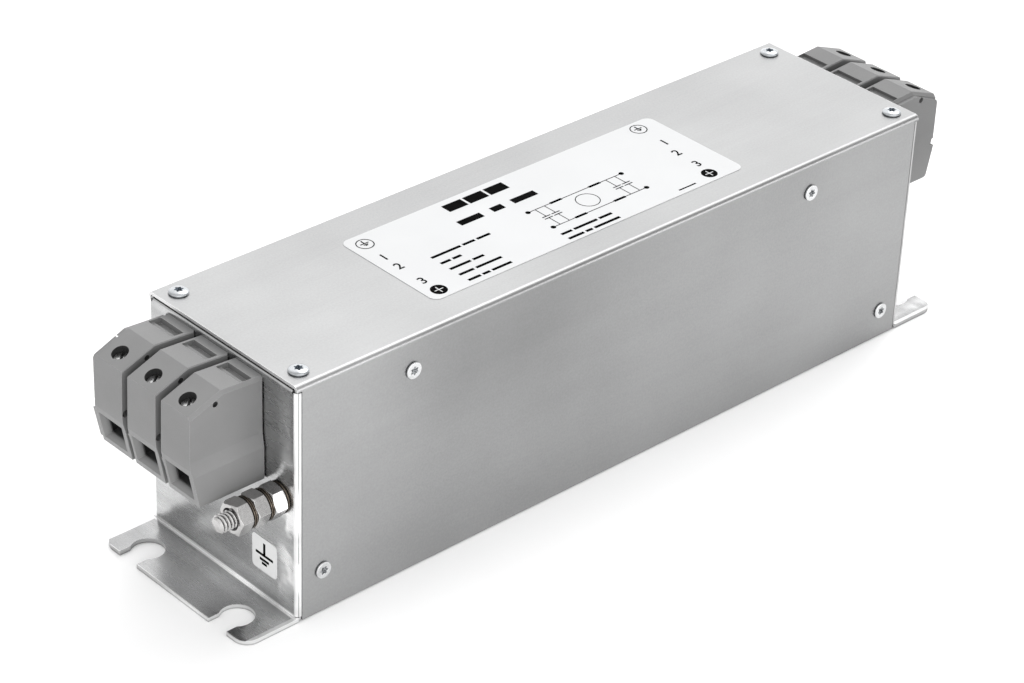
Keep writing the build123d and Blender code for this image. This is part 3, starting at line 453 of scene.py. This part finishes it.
# The washers' rims in metres, with painted shade between painted highlight lines: out from the case's middle
# to between two washers, on to the next such place, from washer to washer, and how far off its middle the
# highlight line is full and gone
rimLightAndShade = {"bronzedWasher": {"dark": (0.022, 0.019, 0.016, 1), "between": 0.141525, "every": 0.0063,
                               "spacing": 0.00065, "line": (0.00004, 0.00016)}}
mouldedLook = {"dark": grey(0.160), "light": grey(0.177), "smooth": 0.36, "rough": 0.50,
               "toneScale": 60.0, "grainScale": 2600.0, "depth": 0.000010, "edge": 0.00022}
# Painted shade inside the terminals, and a painted highlight on their edges
mouldedShade = {"from": 0.7, "to": 3.6, "least": 0.07, "edgeWidth": 0.0003, "edgeTurn": (0.80, 0.97),
                "edgeHighlightTone": 0.30, "roughInside": 0.5}
inkLook = {"dark": grey(0.004), "light": grey(0.007), "smooth": 0.40, "rough": 0.55,
           "toneScale": 200.0, "grainScale": 3000.0, "depth": 0.000002, "edge": 0.00001}

# Rolling lines: short across them, long along them, as noise cells per metre
alongX, wideX = (30.0, 900.0, 900.0), (7.0, 160.0, 160.0)
alongY, wideY = (900.0, 60.0, 900.0), (160.0, 9.0, 160.0)
# Places in metres of the wall's corner tones, which are painted light and shade, and of its bend: the bend's
# and the painted glints' ranges go from nothing to full, and the painted shadow and highlight lines lie at a
# middle with a half width
wallCorner = {"sharp": 0.0001, "lineFrom": 0.0346, "lineAt": 0.1341, "lineHalf": 0.00010,
              "shadowLineTone": 0.30, "seamFrom": 0.0822, "seamShadeTone": 0.03, "bendFrom": 0.026,
              "bendTo": 0.0338, "bendHeight": 380.0, "bendShares": (0.2, 1.4), "bendCloud": (0.35, 0.6),
              "glintScale": 110.0, "glintNoise": (0.45, 0.56), "glintAcross": (-0.0255, -0.031),
              "glintUp": (0.049, 0.045), "glintFoot": (0.003, 0.008), "glintTone": 0.88,
              "foldOut": (0.1354, 0.0005), "foldUp": (0.0019, 0.0006), "foldHighlightTone": 0.80}
# Painted highlights at the walls' and the cover's folds and cut edges, as limits (axis, place, tone)
wallEdgeHighlights = [("Y", 0.0340, 0.78), ("X", 0.1546, 0.68), ("Z", -0.00145, 0.68)]
coverEdgeHighlights = [("X", 0.1345, 0.62)]
# Slow changes of painted light and shade as (axis, start, end, tone at the start, tone at the end, gates):
# over the feet and up the walls with a painted contact shadow at the feet's lowest edges, along the cover's
# top and its long side, and up the terminals; the load end is darker as painted shade
footOnly, sideTop = [("Z", 0.004, 0.001)], [("Y", -0.0345, -0.0352), ("Z", 0.03, 0.065)]
wallPaintedShading = [("Y", -0.010, 0.030, 1.0, 0.62, footOnly), ("X", 0.0, 0.1, 1.0, 0.55, []),
               ("Y", -0.034, -0.026, 1.30, 1.0, footOnly), ("Y", -0.022, -0.012, 0.84, 1.28, footOnly),
               ("Y", -0.006, 0.005, 1.0, 0.78, footOnly), ("Z", 0.0, 0.0006, 0.50, 1.0, []),
               ("Z", 0.006, 0.038, 1.22, 1.0, [("Z", 0.003, 0.006)])]
coverPaintedShading = [("X", -0.135, -0.03, 1.12, 1.0, []), ("X", -0.112, -0.070, 1.0, 0.78, sideTop),
                ("X", -0.045, 0.005, 1.0, 1.28, sideTop)]
# Painted shade on the terminals at the load end, painted light on their lower part
mouldedPaintedShading = [("X", 0.0, 0.1, 1.0, 0.72, []), ("Z", 0.045, 0.064, 1.20, 1.0, [])]

finish = {"wallSteel": steelSheet("wallSteel", alongY, wideY, wallLook, wallEdgeHighlights, wallCorner, wallPaintedShading),
          "coverSteel": steelSheet("coverSteel", alongX, wideX, coverLook, coverEdgeHighlights, None, coverPaintedShading),
          "baseSteel": steelSheet("baseSteel", alongX, wideX, wallLook),
          "mouldedGrey": plastic("mouldedGrey", mouldedLook, mouldedShade, mouldedPaintedShading),
          "blackInk": plastic("blackInk", inkLook, Specular_IOR_Level=0.0)}
for name, row in metalLooks.items():
    finish[name] = solidMetal(name, dict(zip(lookKeys, row)), rimLightAndShade.get(name))
for name, row in plainLooks.items():
    finish[name] = plastic(name, dict(zip(lookKeys, row)))
print("materials made:", len(bpy.data.materials))

# The first word that a node's name holds decides its material
finishByWord = [("earth_label", "smallFilm"), ("rating_label", "labelFilm"), ("end_plate", "wallSteel"),
                ("base_plate", "baseSteel"), ("brace", "baseSteel"), ("cover_", "zincPlate"),
                ("end_cover", "mouldedGrey"), ("cover", "coverSteel"), ("earth_washers", "bronzedWasher"),
                ("earth", "nickelPlate"), ("clamp_screws", "clampScrew"), ("clamp", "clampSteel"),
                ("current_bar", "tinnedBar"), ("terminal", "mouldedGrey"), ("board_screws", "zincPlate"),
                ("standoffs", "turnedBrass"), ("circuit_board", "laminate"), ("insulating", "insulator"),
                ("core", "coatedCore"), ("winding", "enamelWire"), ("choke_base", "chokePlastic"),
                ("divider", "chokePlastic"), ("capacitor", "capacitorCase"), ("resistor", "resistorBody")]
for name, cadNode in nodes.items():
    chosen = next(material for word, material in finishByWord if word in name)
    cadNode.data.materials.clear()
    cadNode.data.materials.append(finish[chosen])
print("finishes given to the CAD nodes")

mergeReach = 0.000001


# Quads as a mesh with merged doubles and outward normals; slots say which of the materials each quad has
def meshPiece(name, points, quads, materials, smooth=True, slots=None):
    mesh = bpy.data.meshes.new(name)
    mesh.vertices.add(len(points))
    mesh.vertices.foreach_set("co", points.astype(np.float32).ravel())
    mesh.loops.add(quads.size)
    mesh.loops.foreach_set("vertex_index", quads.astype(np.int32).ravel())
    mesh.polygons.add(len(quads))
    mesh.polygons.foreach_set("loop_start", np.arange(0, quads.size, quads.shape[1], dtype=np.int32))
    if slots is not None:
        mesh.polygons.foreach_set("material_index", slots.astype(np.int32).ravel())
    mesh.update(calc_edges=True)
    work = bmesh.new()
    work.from_mesh(mesh)
    bmesh.ops.remove_doubles(work, verts=work.verts, dist=mergeReach)
    bmesh.ops.recalc_face_normals(work, faces=work.faces)
    work.to_mesh(mesh)
    work.free()
    mesh.polygons.foreach_set("use_smooth", np.full(len(mesh.polygons), smooth))
    for material in materials:
        mesh.materials.append(material)
    piece = bpy.data.objects.new(name, mesh)
    bpy.context.scene.collection.objects.link(piece)
    return piece


# A grid of points in mm, rows by columns, with a quad in each cell and the last column joined to the
# first; the dark cells have the second material
def gridMesh(name, points, materials, dark=None, smooth=True):
    rows, columns = points.shape[:2]
    index = np.arange(rows * columns).reshape(rows, columns)
    right = np.roll(index, -1, 1)
    quads = np.stack([index[:-1], right[:-1], right[1:], index[1:]], -1).reshape(-1, 4)
    return meshPiece(name, points.reshape(-1, 3) * mm, quads, materials, smooth, dark)


# True in every cell of the given rows of a grid's cells
def darkRows(points, rows):
    return np.isin(np.arange(len(points) - 1), rows)[:, None] & np.ones(points.shape[1], dtype=bool)


# Several pieces with the same materials as one mesh
def joinPieces(name, pieces):
    work = bmesh.new()
    for piece in pieces:
        work.from_mesh(piece.data)
    mesh = bpy.data.meshes.new(name)
    work.to_mesh(mesh)
    work.free()
    for material in pieces[0].data.materials:
        mesh.materials.append(material)
    for piece in pieces:
        bpy.data.objects.remove(piece)
    joined = bpy.data.objects.new(name, mesh)
    bpy.context.scene.collection.objects.link(joined)
    return joined


# Middle of a CAD node's box in mm
def middle(node):
    low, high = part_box(node)
    return np.array([low.x + high.x, low.y + high.y, low.z + high.z]) / 2 / mm


# Points on circles round a line along X through a node's middle: Y + radius x cosine, Z + radius x sine
def roundX(node, x, radius, angle):
    centre = middle(node)
    return np.stack([x * np.ones_like(radius), centre[1] + radius * np.cos(angle),
                     centre[2] + radius * np.sin(angle)], -1)


# Threaded stud, in mm
stud = {"diameter": 6.0, "pitch": 1.25, "depth": 0.62, "flank": 1.5, "crest": 0.25, "root": 2.62,
        "reach": 23.8, "tip": 1.0, "headDiameter": 8.4, "headHeight": 1.6, "sheet": 1.5,
        "rowsPerTurn": 12, "columns": 48}


# Radius = core + depth x clipped zigzag of (way / pitch - turn), under a chamfer at the tip, then the
# pressed-in head; direction is 1 where the tip points to +X
def threadedStud(name, node, direction):
    low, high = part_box(node)
    tipX = (high.x if direction > 0 else low.x) / mm
    major = stud["diameter"] / 2
    length = stud["reach"] + stud["sheet"]
    way = np.linspace(0, length, int(length / stud["pitch"] * stud["rowsPerTurn"]) + 1)[:, None]
    turn = np.arange(stud["columns"])[None, :] / stud["columns"]
    phase = (way / stud["pitch"] - turn) % 1.0
    zigzag = np.clip(stud["flank"] * np.abs(2 * phase - 1) - stud["crest"], 0, 1)
    radius = np.minimum(major - stud["depth"] * (1 - zigzag), major - stud["tip"] + way)
    headTop = length + stud["headHeight"]
    way = np.vstack([[[0.0]], way, [[length], [headTop], [headTop]]])
    headRadius = stud["headDiameter"] / 2
    tail = np.array([headRadius, headRadius, 0.0])[:, None] * np.ones(stud["columns"])
    radius = np.vstack([np.zeros((1, stud["columns"])), radius, tail])
    # The thread's roots take the dark material as painted shade
    dark = (radius[:-1] < stud["root"]) & (radius[1:] < stud["root"]) & (way[:-1] > stud["tip"])
    points = roundX(node, tipX - direction * way, radius, 2 * pi * turn)
    piece = gridMesh(name, points, [finish["nickelPlate"], finish["threadRoot"]], dark)
    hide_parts(node)
    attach(piece, "root")


threadedStud("lineStudThread", "line_earth_stud", -1)
threadedStud("loadStudThread", "load_earth_stud", 1)
print("studs threaded")

# Nuts, in mm: starts are the ways out from the wall, slope is the tangent of the faces' 30 degree cone
# The dark rows, the bore and its chamfers, take the dark material as painted shade
nut = {"flats": 10.0, "height": 5.0, "bore": 3.1, "mouth": 3.65, "darkRows": (19, 20, 21), "seat": 4.7,
       "slope": 0.577, "perSide": 16, "coneRows": 9, "starts": (0.85, 7.15, 13.45),
       "line": (6.0, -6.0, -5.0), "load": (8.0, 24.0, 2.0)}


# Hexagon radius = half flats / cosine of the angle to the facet's middle, cut by a cone at both faces;
# the bore opens with a cone at each end
def nutSet(name, node, studNode, direction, turns):
    angle = 2 * pi * np.arange(6 * nut["perSide"]) / (6 * nut["perSide"])
    hexagon = nut["flats"] / 2 / np.cos((angle % (pi / 3)) - pi / 6)
    near = np.linspace(0, (nut["flats"] / np.sqrt(3) - nut["seat"]) * nut["slope"], nut["coneRows"])
    way = np.concatenate([near, [nut["height"] / 2], nut["height"] - near[::-1]])
    cone = nut["seat"] + np.minimum(way, nut["height"] - way) / nut["slope"]
    shell = np.minimum(hexagon[None, :], cone[:, None])
    chamfer = nut["mouth"] - nut["bore"]
    innerWay = [nut["height"], nut["height"] - chamfer, chamfer, 0.0, 0.0]
    innerRadius = [nut["mouth"], nut["bore"], nut["bore"], nut["mouth"], nut["seat"]]
    radius = np.vstack([shell, np.outer(innerRadius, np.ones(len(angle)))])
    way = np.concatenate([way, innerWay])[:, None]
    pieces = []
    for start, turn in zip(nut["starts"], turns):
        out = direction * (halfLength + start + way)
        points = roundX(studNode, out, radius, angle[None, :] + radians(turn))
        pieces.append(gridMesh(name + str(len(pieces)), points, [finish["nickelPlate"], finish["threadRoot"]],
                               darkRows(points, nut["darkRows"]), False))
    joined = joinPieces(name, pieces)
    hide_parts(node)
    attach(joined, "root")


# Washers, in mm: places are (way out from the wall, thickness)
washer = {"radius": 5.25, "bore": 3.2, "round": 0.16, "rimShare": 0.98, "rimRows": 9, "columns": 96,
          "places": ((0.05, 0.8), (5.9, 0.6), (6.55, 0.6), (12.2, 0.6), (12.85, 0.6))}


# Rings with a rounded rim: radius = outer - round x (1 - root of (1 - way squared)) across each rim
def washerSet(name, node, studNode, direction):
    angle = 2 * pi * np.arange(washer["columns"])[None, :] / washer["columns"]
    bulge = np.linspace(-1, 1, washer["rimRows"])
    rim = washer["radius"] - washer["round"] * (1 - np.sqrt(1 - (washer["rimShare"] * bulge) ** 2))
    radius = np.concatenate([[washer["bore"]], rim, [washer["bore"], washer["bore"]]])[:, None]
    share = np.concatenate([[0.0], (1 + bulge) / 2, [1.0, 0.0]])[:, None]
    pieces = []
    for start, thickness in washer["places"]:
        out = direction * (halfLength + start + thickness * share)
        points = roundX(studNode, out, radius * np.ones_like(angle), angle)
        pieces.append(gridMesh(name + str(len(pieces)), points, [finish["bronzedWasher"]]))
    joined = joinPieces(name, pieces)
    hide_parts(node)
    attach(joined, "root")


nutSet("lineNuts", "line_earth_nuts", "line_earth_stud", -1, nut["line"])
nutSet("loadNuts", "load_earth_nuts", "load_earth_stud", 1, nut["load"])
washerSet("lineWashers", "line_earth_washers", "line_earth_stud", -1)
washerSet("loadWashers", "load_earth_washers", "load_earth_stud", 1)
print("nuts and washers made")

# Case screws, in mm: rings and crowding are of the head's top, the crown is a share and a power, and a
# flat head falls off in the last part of its radius
panHead = {"radius": 3.2, "height": 1.4, "edge": 0.35, "shank": 1.5, "length": 7.0}
flatHead = {"radius": 2.8, "height": 0.8, "edge": 0.55, "shank": 1.5, "length": 8.0}
head = {"columns": 96, "rings": 22, "crowding": 1.6, "crownShare": 0.97, "crownPower": 2.4,
        "flatRim": 0.08, "rimFoot": 0.6, "under": 0.96}
# The socket's floor and walls and the head's lower rim are the dark rows: painted shade in the socket and a
# painted shadow line under the head's rim
socket = {"lobes": 6, "mean": 1.26, "lobe": 0.24, "lip": 0.04, "shares": (0.0, 0.5, 0.94, 1.0),
          "depths": (1.08, 1.04, 1.0), "darkRows": (0, 1, 2, 26, 27)}
screwPlaces = {"topEndInset": 6.4, "topSideInset": 7.0, "turn": 37.0,
               "side": [(-125.0, 15.5), (125.0, 11.0), (-90.4, 72.6), (82.5, 72.6)]}


# A lobed socket, radius = mean + lobe x cosine of (lobes x angle), then the top out to the rim, under
# the head and down the shank; the top's height is edge + rise x root of (1 - share to a power), where
# the share is of the radius when the head is domed, and of its flat rim's width when it isn't
def screwPoints(shape, domed):
    angle = 2 * pi * np.arange(head["columns"]) / head["columns"]
    full = np.ones(head["columns"])
    lobes = socket["mean"] + socket["lobe"] * np.cos(socket["lobes"] * angle)
    spread = np.linspace(0, 1, head["rings"])[:, None]
    start = lobes + socket["lip"]
    radius = start + (shape["radius"] - start) * (1 - (1 - spread) ** head["crowding"])
    share = radius / shape["radius"]
    rise = shape["height"] - shape["edge"]
    if domed:
        fall = (head["crownShare"] * share) ** head["crownPower"]
    else:
        fall = np.clip((share - 1 + head["flatRim"]) / head["flatRim"], 0, 1) ** 2
    crown = shape["edge"] + rise * np.sqrt(np.clip(1 - fall, 0, 1))
    lower = [shape["radius"], shape["radius"] * head["under"], shape["shank"], shape["shank"], 0]
    lowerHeight = [shape["edge"] * head["rimFoot"], 0, 0, -shape["length"], -shape["length"]]
    radius = np.vstack([np.outer(socket["shares"], lobes), radius, np.outer(lower, full)])
    height = np.vstack([np.outer(shape["height"] - np.array(socket["depths"]), full),
                        crown[:1] - socket["lip"], crown, np.outer(lowerHeight, full)])
    return np.stack([radius * np.cos(angle), radius * np.sin(angle), height], -1)


# Points turned about Z: x cosine - y sine, x sine + y cosine
def turned(points, degrees):
    sine, cosine = np.sin(radians(degrees)), np.cos(radians(degrees))
    x, y, z = points[..., 0], points[..., 1], points[..., 2]
    return np.stack([x * cosine - y * sine, x * sine + y * cosine, z], -1)


# Screws as one piece, the recess and the head's lower rim in their own darker material as painted shade
def screwSet(name, node, shapes, material, recess):
    dark = darkRows(shapes[0], socket["darkRows"])
    pieces = [gridMesh(name + str(number), points, [finish[material], finish[recess]], dark)
              for number, points in enumerate(shapes)]
    joined = joinPieces(name, pieces)
    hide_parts(node)
    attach(joined, "root")


coverHigh = np.array(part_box("cover")[1]) / mm
domed = screwPoints(panHead, True)
shapes = []
for xSign in (-1, 1):
    for ySign in (-1, 1):
        seat = np.array([xSign * (halfLength - screwPlaces["topEndInset"]),
                         ySign * (coverHigh[1] - screwPlaces["topSideInset"]), coverHigh[2]])
        shapes.append(turned(domed, screwPlaces["turn"] * len(shapes)) + seat)
screwSet("domedScrews", "cover_top_screws", shapes, "zincPlate", "recessZinc")
flat = screwPoints(flatHead, False)
shapes = []
for x, z in screwPlaces["side"]:
    for side in (-1, 1):
        spun = turned(flat, screwPlaces["turn"] * len(shapes))
        lying = np.stack([spun[..., 0], side * spun[..., 2], -side * spun[..., 1]], -1)
        shapes.append(lying + np.array([x, side * coverHigh[1], z]))
screwSet("flatScrews", "cover_side_screws", shapes, "sideZinc", "sideRecess")
print("case screws made")

# Print on the labels, in mm: flat outlines lifted off the film, each a thin closed block of ink; the
# earth symbol's stem and bars are shares of its first bar, as (length, drop)
ink = {"lift": 0.03, "circleSides": 48, "cornerPoints": 9, "stem": 0.54, "stemWeight": 1.15,
       "bars": ((1.0, 0.0), (0.53, 0.215), (0.29, 0.37))}


# Each outline as a lower and an upper face with a quad between each two corners
def inkBlocks(outlines, thickness):
    points, faces, base = [], [], 0
    for outline in outlines:
        corners = len(outline)
        low = base + np.arange(corners)
        high = low + corners
        points += [np.column_stack([outline, np.full(corners, z)]) for z in (0.0, thickness)]
        faces += [high.tolist(), low[::-1].tolist()]
        faces += np.stack([low, np.roll(low, -1), np.roll(high, -1), high], -1).tolist()
        base += 2 * corners
    return np.vstack(points), faces


# Rectangle about its middle: half its length in X and half its width in Y, either way
def bar(x, y, length, width):
    corners = np.array([[-1, -1], [1, -1], [1, 1], [-1, 1]])
    return np.array([x, y]) + corners * [length / 2, width / 2]


# Points on a circle, one side's angle apart: x + radius x cosine, y + radius x sine
def circle(x, y, radius, points):
    angle = 2 * pi * np.arange(points) / ink["circleSides"]
    return np.array([x, y]) + radius * np.stack([np.cos(angle), np.sin(angle)], -1)


# Filled circle as one outline
def disc(x, y, radius):
    return circle(x, y, radius, ink["circleSides"])


# Ring as short blocks from one point of its two circles to the next
def ringBlocks(x, y, radius, width):
    inner, outer = (circle(x, y, radius + side * width / 2, ink["circleSides"] + 1) for side in (-1, 1))
    return list(np.stack([inner[:-1], outer[:-1], outer[1:], inner[1:]], 1))


# Disc with a light upright cross in it: a ring outside the arms' reach and a corner piece in each quarter
def crossDisc(x, y, radius, arm, width):
    half = width / 2
    edge = np.sqrt(arm ** 2 - half ** 2)
    angle = np.linspace(np.arctan2(half, edge), np.arctan2(edge, half), ink["cornerPoints"])
    corner = np.vstack([[half, half], np.stack([arm * np.cos(angle), arm * np.sin(angle)], -1)])
    quarters = [np.array([x, y]) + corner[::step] * [xSign, ySign]
                for xSign, ySign, step in ((1, 1, 1), (-1, 1, -1), (-1, -1, 1), (1, -1, -1))]
    return ringBlocks(x, y, (radius + arm) / 2, radius - arm) + quarters


# A stem that stands on the first of three bars, each shorter than the last
def earthSymbol(x, y, size, weight):
    stem = ink["stem"] * size
    return [bar(x, y + stem / 2, weight * ink["stemWeight"], stem)] + [
        bar(x, y - drop * size, size * length, weight) for length, drop in ink["bars"]]


# Plain digit as a filled mesh about its middle
def digit(text, size):
    curve = bpy.data.curves.new("digit", "FONT")
    curve.body = text
    curve.size = size
    curve.align_x = "CENTER"
    curve.align_y = "CENTER"
    curve.extrude = ink["lift"] / 2
    curve.offset = marks["bold"]
    letter = bpy.data.objects.new("digit", curve)
    mesh = bpy.data.meshes.new_from_object(letter)
    points = np.zeros(len(mesh.vertices) * 3)
    mesh.vertices.foreach_get("co", points)
    faces = [list(polygon.vertices) for polygon in mesh.polygons]
    bpy.data.objects.remove(letter)
    bpy.data.meshes.remove(mesh)
    bpy.data.curves.remove(curve)
    return points.reshape(-1, 3) + [0, 0, ink["lift"] / 2], faces


# Line of blocks that stands for print: the given lengths one after another, with gaps between
def blockLine(x, y, lengths, height):
    starts = x + np.cumsum([0.0] + [length + marks["gap"] for length in lengths[:-1]])
    return [bar(start + length / 2, y, length, height) for start, length in zip(starts, lengths)]


# Ink on a label: the outlines' blocks and the digits, taken to their place by toObject
def printPiece(name, outlines, toObject, digits=()):
    points, faces = inkBlocks(outlines, ink["lift"])
    for text, x, y in digits:
        shape, sides = digit(text, marks["digit"])
        faces += [[corner + len(points) for corner in side] for side in sides]
        points = np.vstack([points, shape + [x, y, 0]])
    mesh = bpy.data.meshes.new(name)
    mesh.from_pydata((toObject(points) * mm).tolist(), [], faces)
    work = bmesh.new()
    work.from_mesh(mesh)
    bmesh.ops.recalc_face_normals(work, faces=work.faces)
    work.to_mesh(mesh)
    work.free()
    mesh.materials.append(finish["blackInk"])
    piece = bpy.data.objects.new(name, mesh)
    bpy.context.scene.collection.objects.link(piece)
    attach(piece, "root")


# Sizes and places of the rating label's marks, in mm from the case's middle: earths and discs as
# (x, y), lines of blocks as (x, y, lengths), bars as (x, length), digits as (text, x, y)
marks = {"earthSize": 3.3, "earthRing": 2.85, "earthLift": 0.3, "ringWidth": 0.36, "earthWeight": 0.42,
         "disc": 2.75, "crossArm": 1.75, "cross": 0.4, "digit": 5.2, "bold": 0.07, "gap": 0.9,
         "earths": ((-66.3, 15.5), (53.3, 16.6)), "discs": ((-66.6, -19.6), (50.1, -19.6)),
         "small": 1.15,
         "smallLines": ((-56.0, -4.0, (12.0, 5.0, 5.5)), (-56.0, -8.4, (4.0, 3.5)),
                        (-56.0, -12.7, (8.5, 4.5)), (-56.0, -17.0, (6.0, 10.5)),
                        (-56.0, -21.2, (5.0, 3.0, 8.0)), (-14.7, -18.6, (4.5, 10.0, 5.5)),
                        (-14.7, -22.0, (6.5, 2.8, 11.0))),
         "code": 0.6, "codeLine": (34.3, -21.6, (7.6,)),
         "heading": 4.4, "headingLine": (-32.4, 16.2, (7.9, 7.9, 7.9)),
         "subheading": 2.9, "subheadingUp": 6.6,
         "subheadingBars": ((-30.4, 9.6), (-19.0, 4.8), (-7.6, 10.0)),
         "digits": (("1", -67.0, 5.5), ("2", -67.0, -1.5), ("3", -67.0, -12.6), ("1", 53.6, 4.5),
                    ("2", 51.6, -3.2), ("3", 51.6, -12.6))}
# The ladder figure: two rails with dots and dashes, rungs with pairs of plates, and a ring in the middle
ladder = {"left": -13.5, "right": 27.5, "top": -1.8, "bottom": -13.6, "hairline": 0.3, "dot": 0.9,
          "dash": 5.0, "dashAt": 8.5, "dashWeight": 3.5, "ring": 4.0, "endRung": 3.0, "rungAt": 13.5,
          "plate": 3.4, "plateGap": 0.6, "plateWeight": 1.4}


# Rails, dots and dashes first, then the ring, then the rungs from each rail to its plate
def ladderFigure():
    x = (ladder["left"] + ladder["right"]) / 2
    y = (ladder["top"] + ladder["bottom"]) / 2
    line = ladder["hairline"]
    shapes = []
    for rail in (ladder["top"], ladder["bottom"]):
        shapes.append(bar(x, rail, ladder["right"] - ladder["left"], line))
        shapes += [disc(ladder[end], rail, ladder["dot"]) for end in ("left", "right")]
        shapes += [bar(x + shift, rail, ladder["dash"], line * ladder["dashWeight"])
                   for shift in (-ladder["dashAt"], ladder["dashAt"])]
    shapes += ringBlocks(x, y, ladder["ring"], line)
    for rung in (ladder["left"] + ladder["endRung"], x - ladder["rungAt"], x + ladder["rungAt"],
                 ladder["right"] - ladder["endRung"]):
        for sign, rail in ((-1, ladder["bottom"]), (1, ladder["top"])):
            inner = y + sign * ladder["plateGap"]
            shapes.append(bar(rung, (inner + rail) / 2, line, abs(rail - inner)))
            shapes.append(bar(rung, inner, ladder["plate"], line * ladder["plateWeight"]))
    return shapes


# Every mark on the rating label apart from its digits
def ratingMarks():
    shapes = []
    for x, y in marks["earths"]:
        shapes += ringBlocks(x, y, marks["earthRing"], marks["ringWidth"])
        shapes += earthSymbol(x, y + marks["earthLift"], marks["earthSize"], marks["earthWeight"])
    for x, y in marks["discs"]:
        shapes += crossDisc(x, y, marks["disc"], marks["crossArm"], marks["cross"])
    for x, y, lengths in marks["smallLines"]:
        shapes += blockLine(x, y, lengths, marks["small"])
    shapes += blockLine(*marks["codeLine"], marks["code"])
    shapes += blockLine(*marks["headingLine"], marks["heading"])
    shapes += [bar(x, marks["subheadingUp"], length, marks["subheading"])
               for x, length in marks["subheadingBars"]]
    return shapes + ladderFigure()


# Up from the rating label's top face
def onRating(points):
    return points + [0, 0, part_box("rating_label")[1].z / mm]


# Seen from outside the line end, right is -Y and the lift is -X
def onEarthLabel(points):
    centre = middle("line_earth_label")
    return np.stack([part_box("line_earth_label")[0].x / mm - points[:, 2], centre[1] - points[:, 0],
                     centre[2] + points[:, 1]], -1)


smallEarth = {"x": 0.0, "y": -0.1, "size": 8.3, "weight": 0.95}
printPiece("ratingPrint", ratingMarks(), onRating, marks["digits"])
printPiece("earthPrint", earthSymbol(**smallEarth), onEarthLabel)
print("print made")

# Floor, just under the lowest point
floor = {"half": 4.0, "drop": 0.0001}
floorLook = {"dark": grey(0.89), "light": grey(0.91), "smooth": 0.85, "rough": 0.95,
             "toneScale": 3.0, "grainScale": 300.0, "depth": 0.00001, "edge": 0.0001}
floorPoints = np.array([[-1, -1, 0], [1, -1, 0], [1, 1, 0], [-1, 1, 0]]) * floor["half"]
floorPoints[:, 2] = cadBox[0].z - floor["drop"]
floorPiece = meshPiece("floor", floorPoints, np.array([[0, 1, 2, 3]]),
                       [plastic("paleFloor", floorLook)], False)

# Studio: a dome that goes from the horizon's strength to its own at the full height, and soft boxes as
# smooth patches round their directions; a patch is full inside the first angle and gone past the second
studio = {"dome": 0.95, "horizon": 0.95, "fullHeight": 0.7, "patches": [
    ((0.586, 0.616, 0.526), 18.0, 52.0, 0.85),
    ((0.586, 0.20, 0.80), 8.0, 24.0, 3.0),
    ((0.586, -0.80, 0.05), 10.0, 18.0, 3.4),
    ((0.586, -0.66, 0.47), 13.0, 26.0, -0.58),
    ((-0.30, -0.85, 0.40), 20.0, 60.0, 1.1),
    ((-0.80, 0.15, 0.55), 10.0, 28.0, 0.3)]}
world = bpy.data.worlds.new("studio")
bpy.context.scene.world = world
world.use_nodes = True
worldTree = world.node_tree
direction = addNode(worldTree, "ShaderNodeTexCoord").outputs["Generated"]
height = axes(worldTree, direction)["Z"]
brightness = remap(worldTree, height, studio["horizon"], studio["dome"], 0.0, studio["fullHeight"])
for aim, full, gone, strength in studio["patches"]:
    facing = vectorMath(worldTree, "DOT_PRODUCT", {0: direction, 1: Vector(aim).normalized()}, "Value")
    patch = remap(worldTree, facing, 0.0, strength, cos(radians(gone)), cos(radians(full)), "SMOOTHSTEP")
    brightness = mathNode(worldTree, "ADD", brightness, patch)
background = worldTree.nodes["Background"]
background.inputs["Color"].default_value = grey(1.0)
worldTree.links.new(brightness, background.inputs["Strength"])

view = {"place": (-0.62489, -0.63931, 0.58200), "turn": (58.2605, -1.9638, -42.3657), "lens": 112.608,
        "sensor": 36.0, "clipStart": 0.01}
camera = bpy.data.cameras.new("photoView")
camera.sensor_width = view["sensor"]
camera.lens = view["lens"]
camera.clip_start = view["clipStart"]
cameraObject = bpy.data.objects.new("photoView", camera)
cameraObject.location = view["place"]
cameraObject.rotation_euler = [radians(angle) for angle in view["turn"]]
bpy.context.scene.collection.objects.link(cameraObject)
bpy.context.scene.camera = cameraObject
bpy.context.scene.view_settings.view_transform = "Standard"
print("floor, lights and camera set")
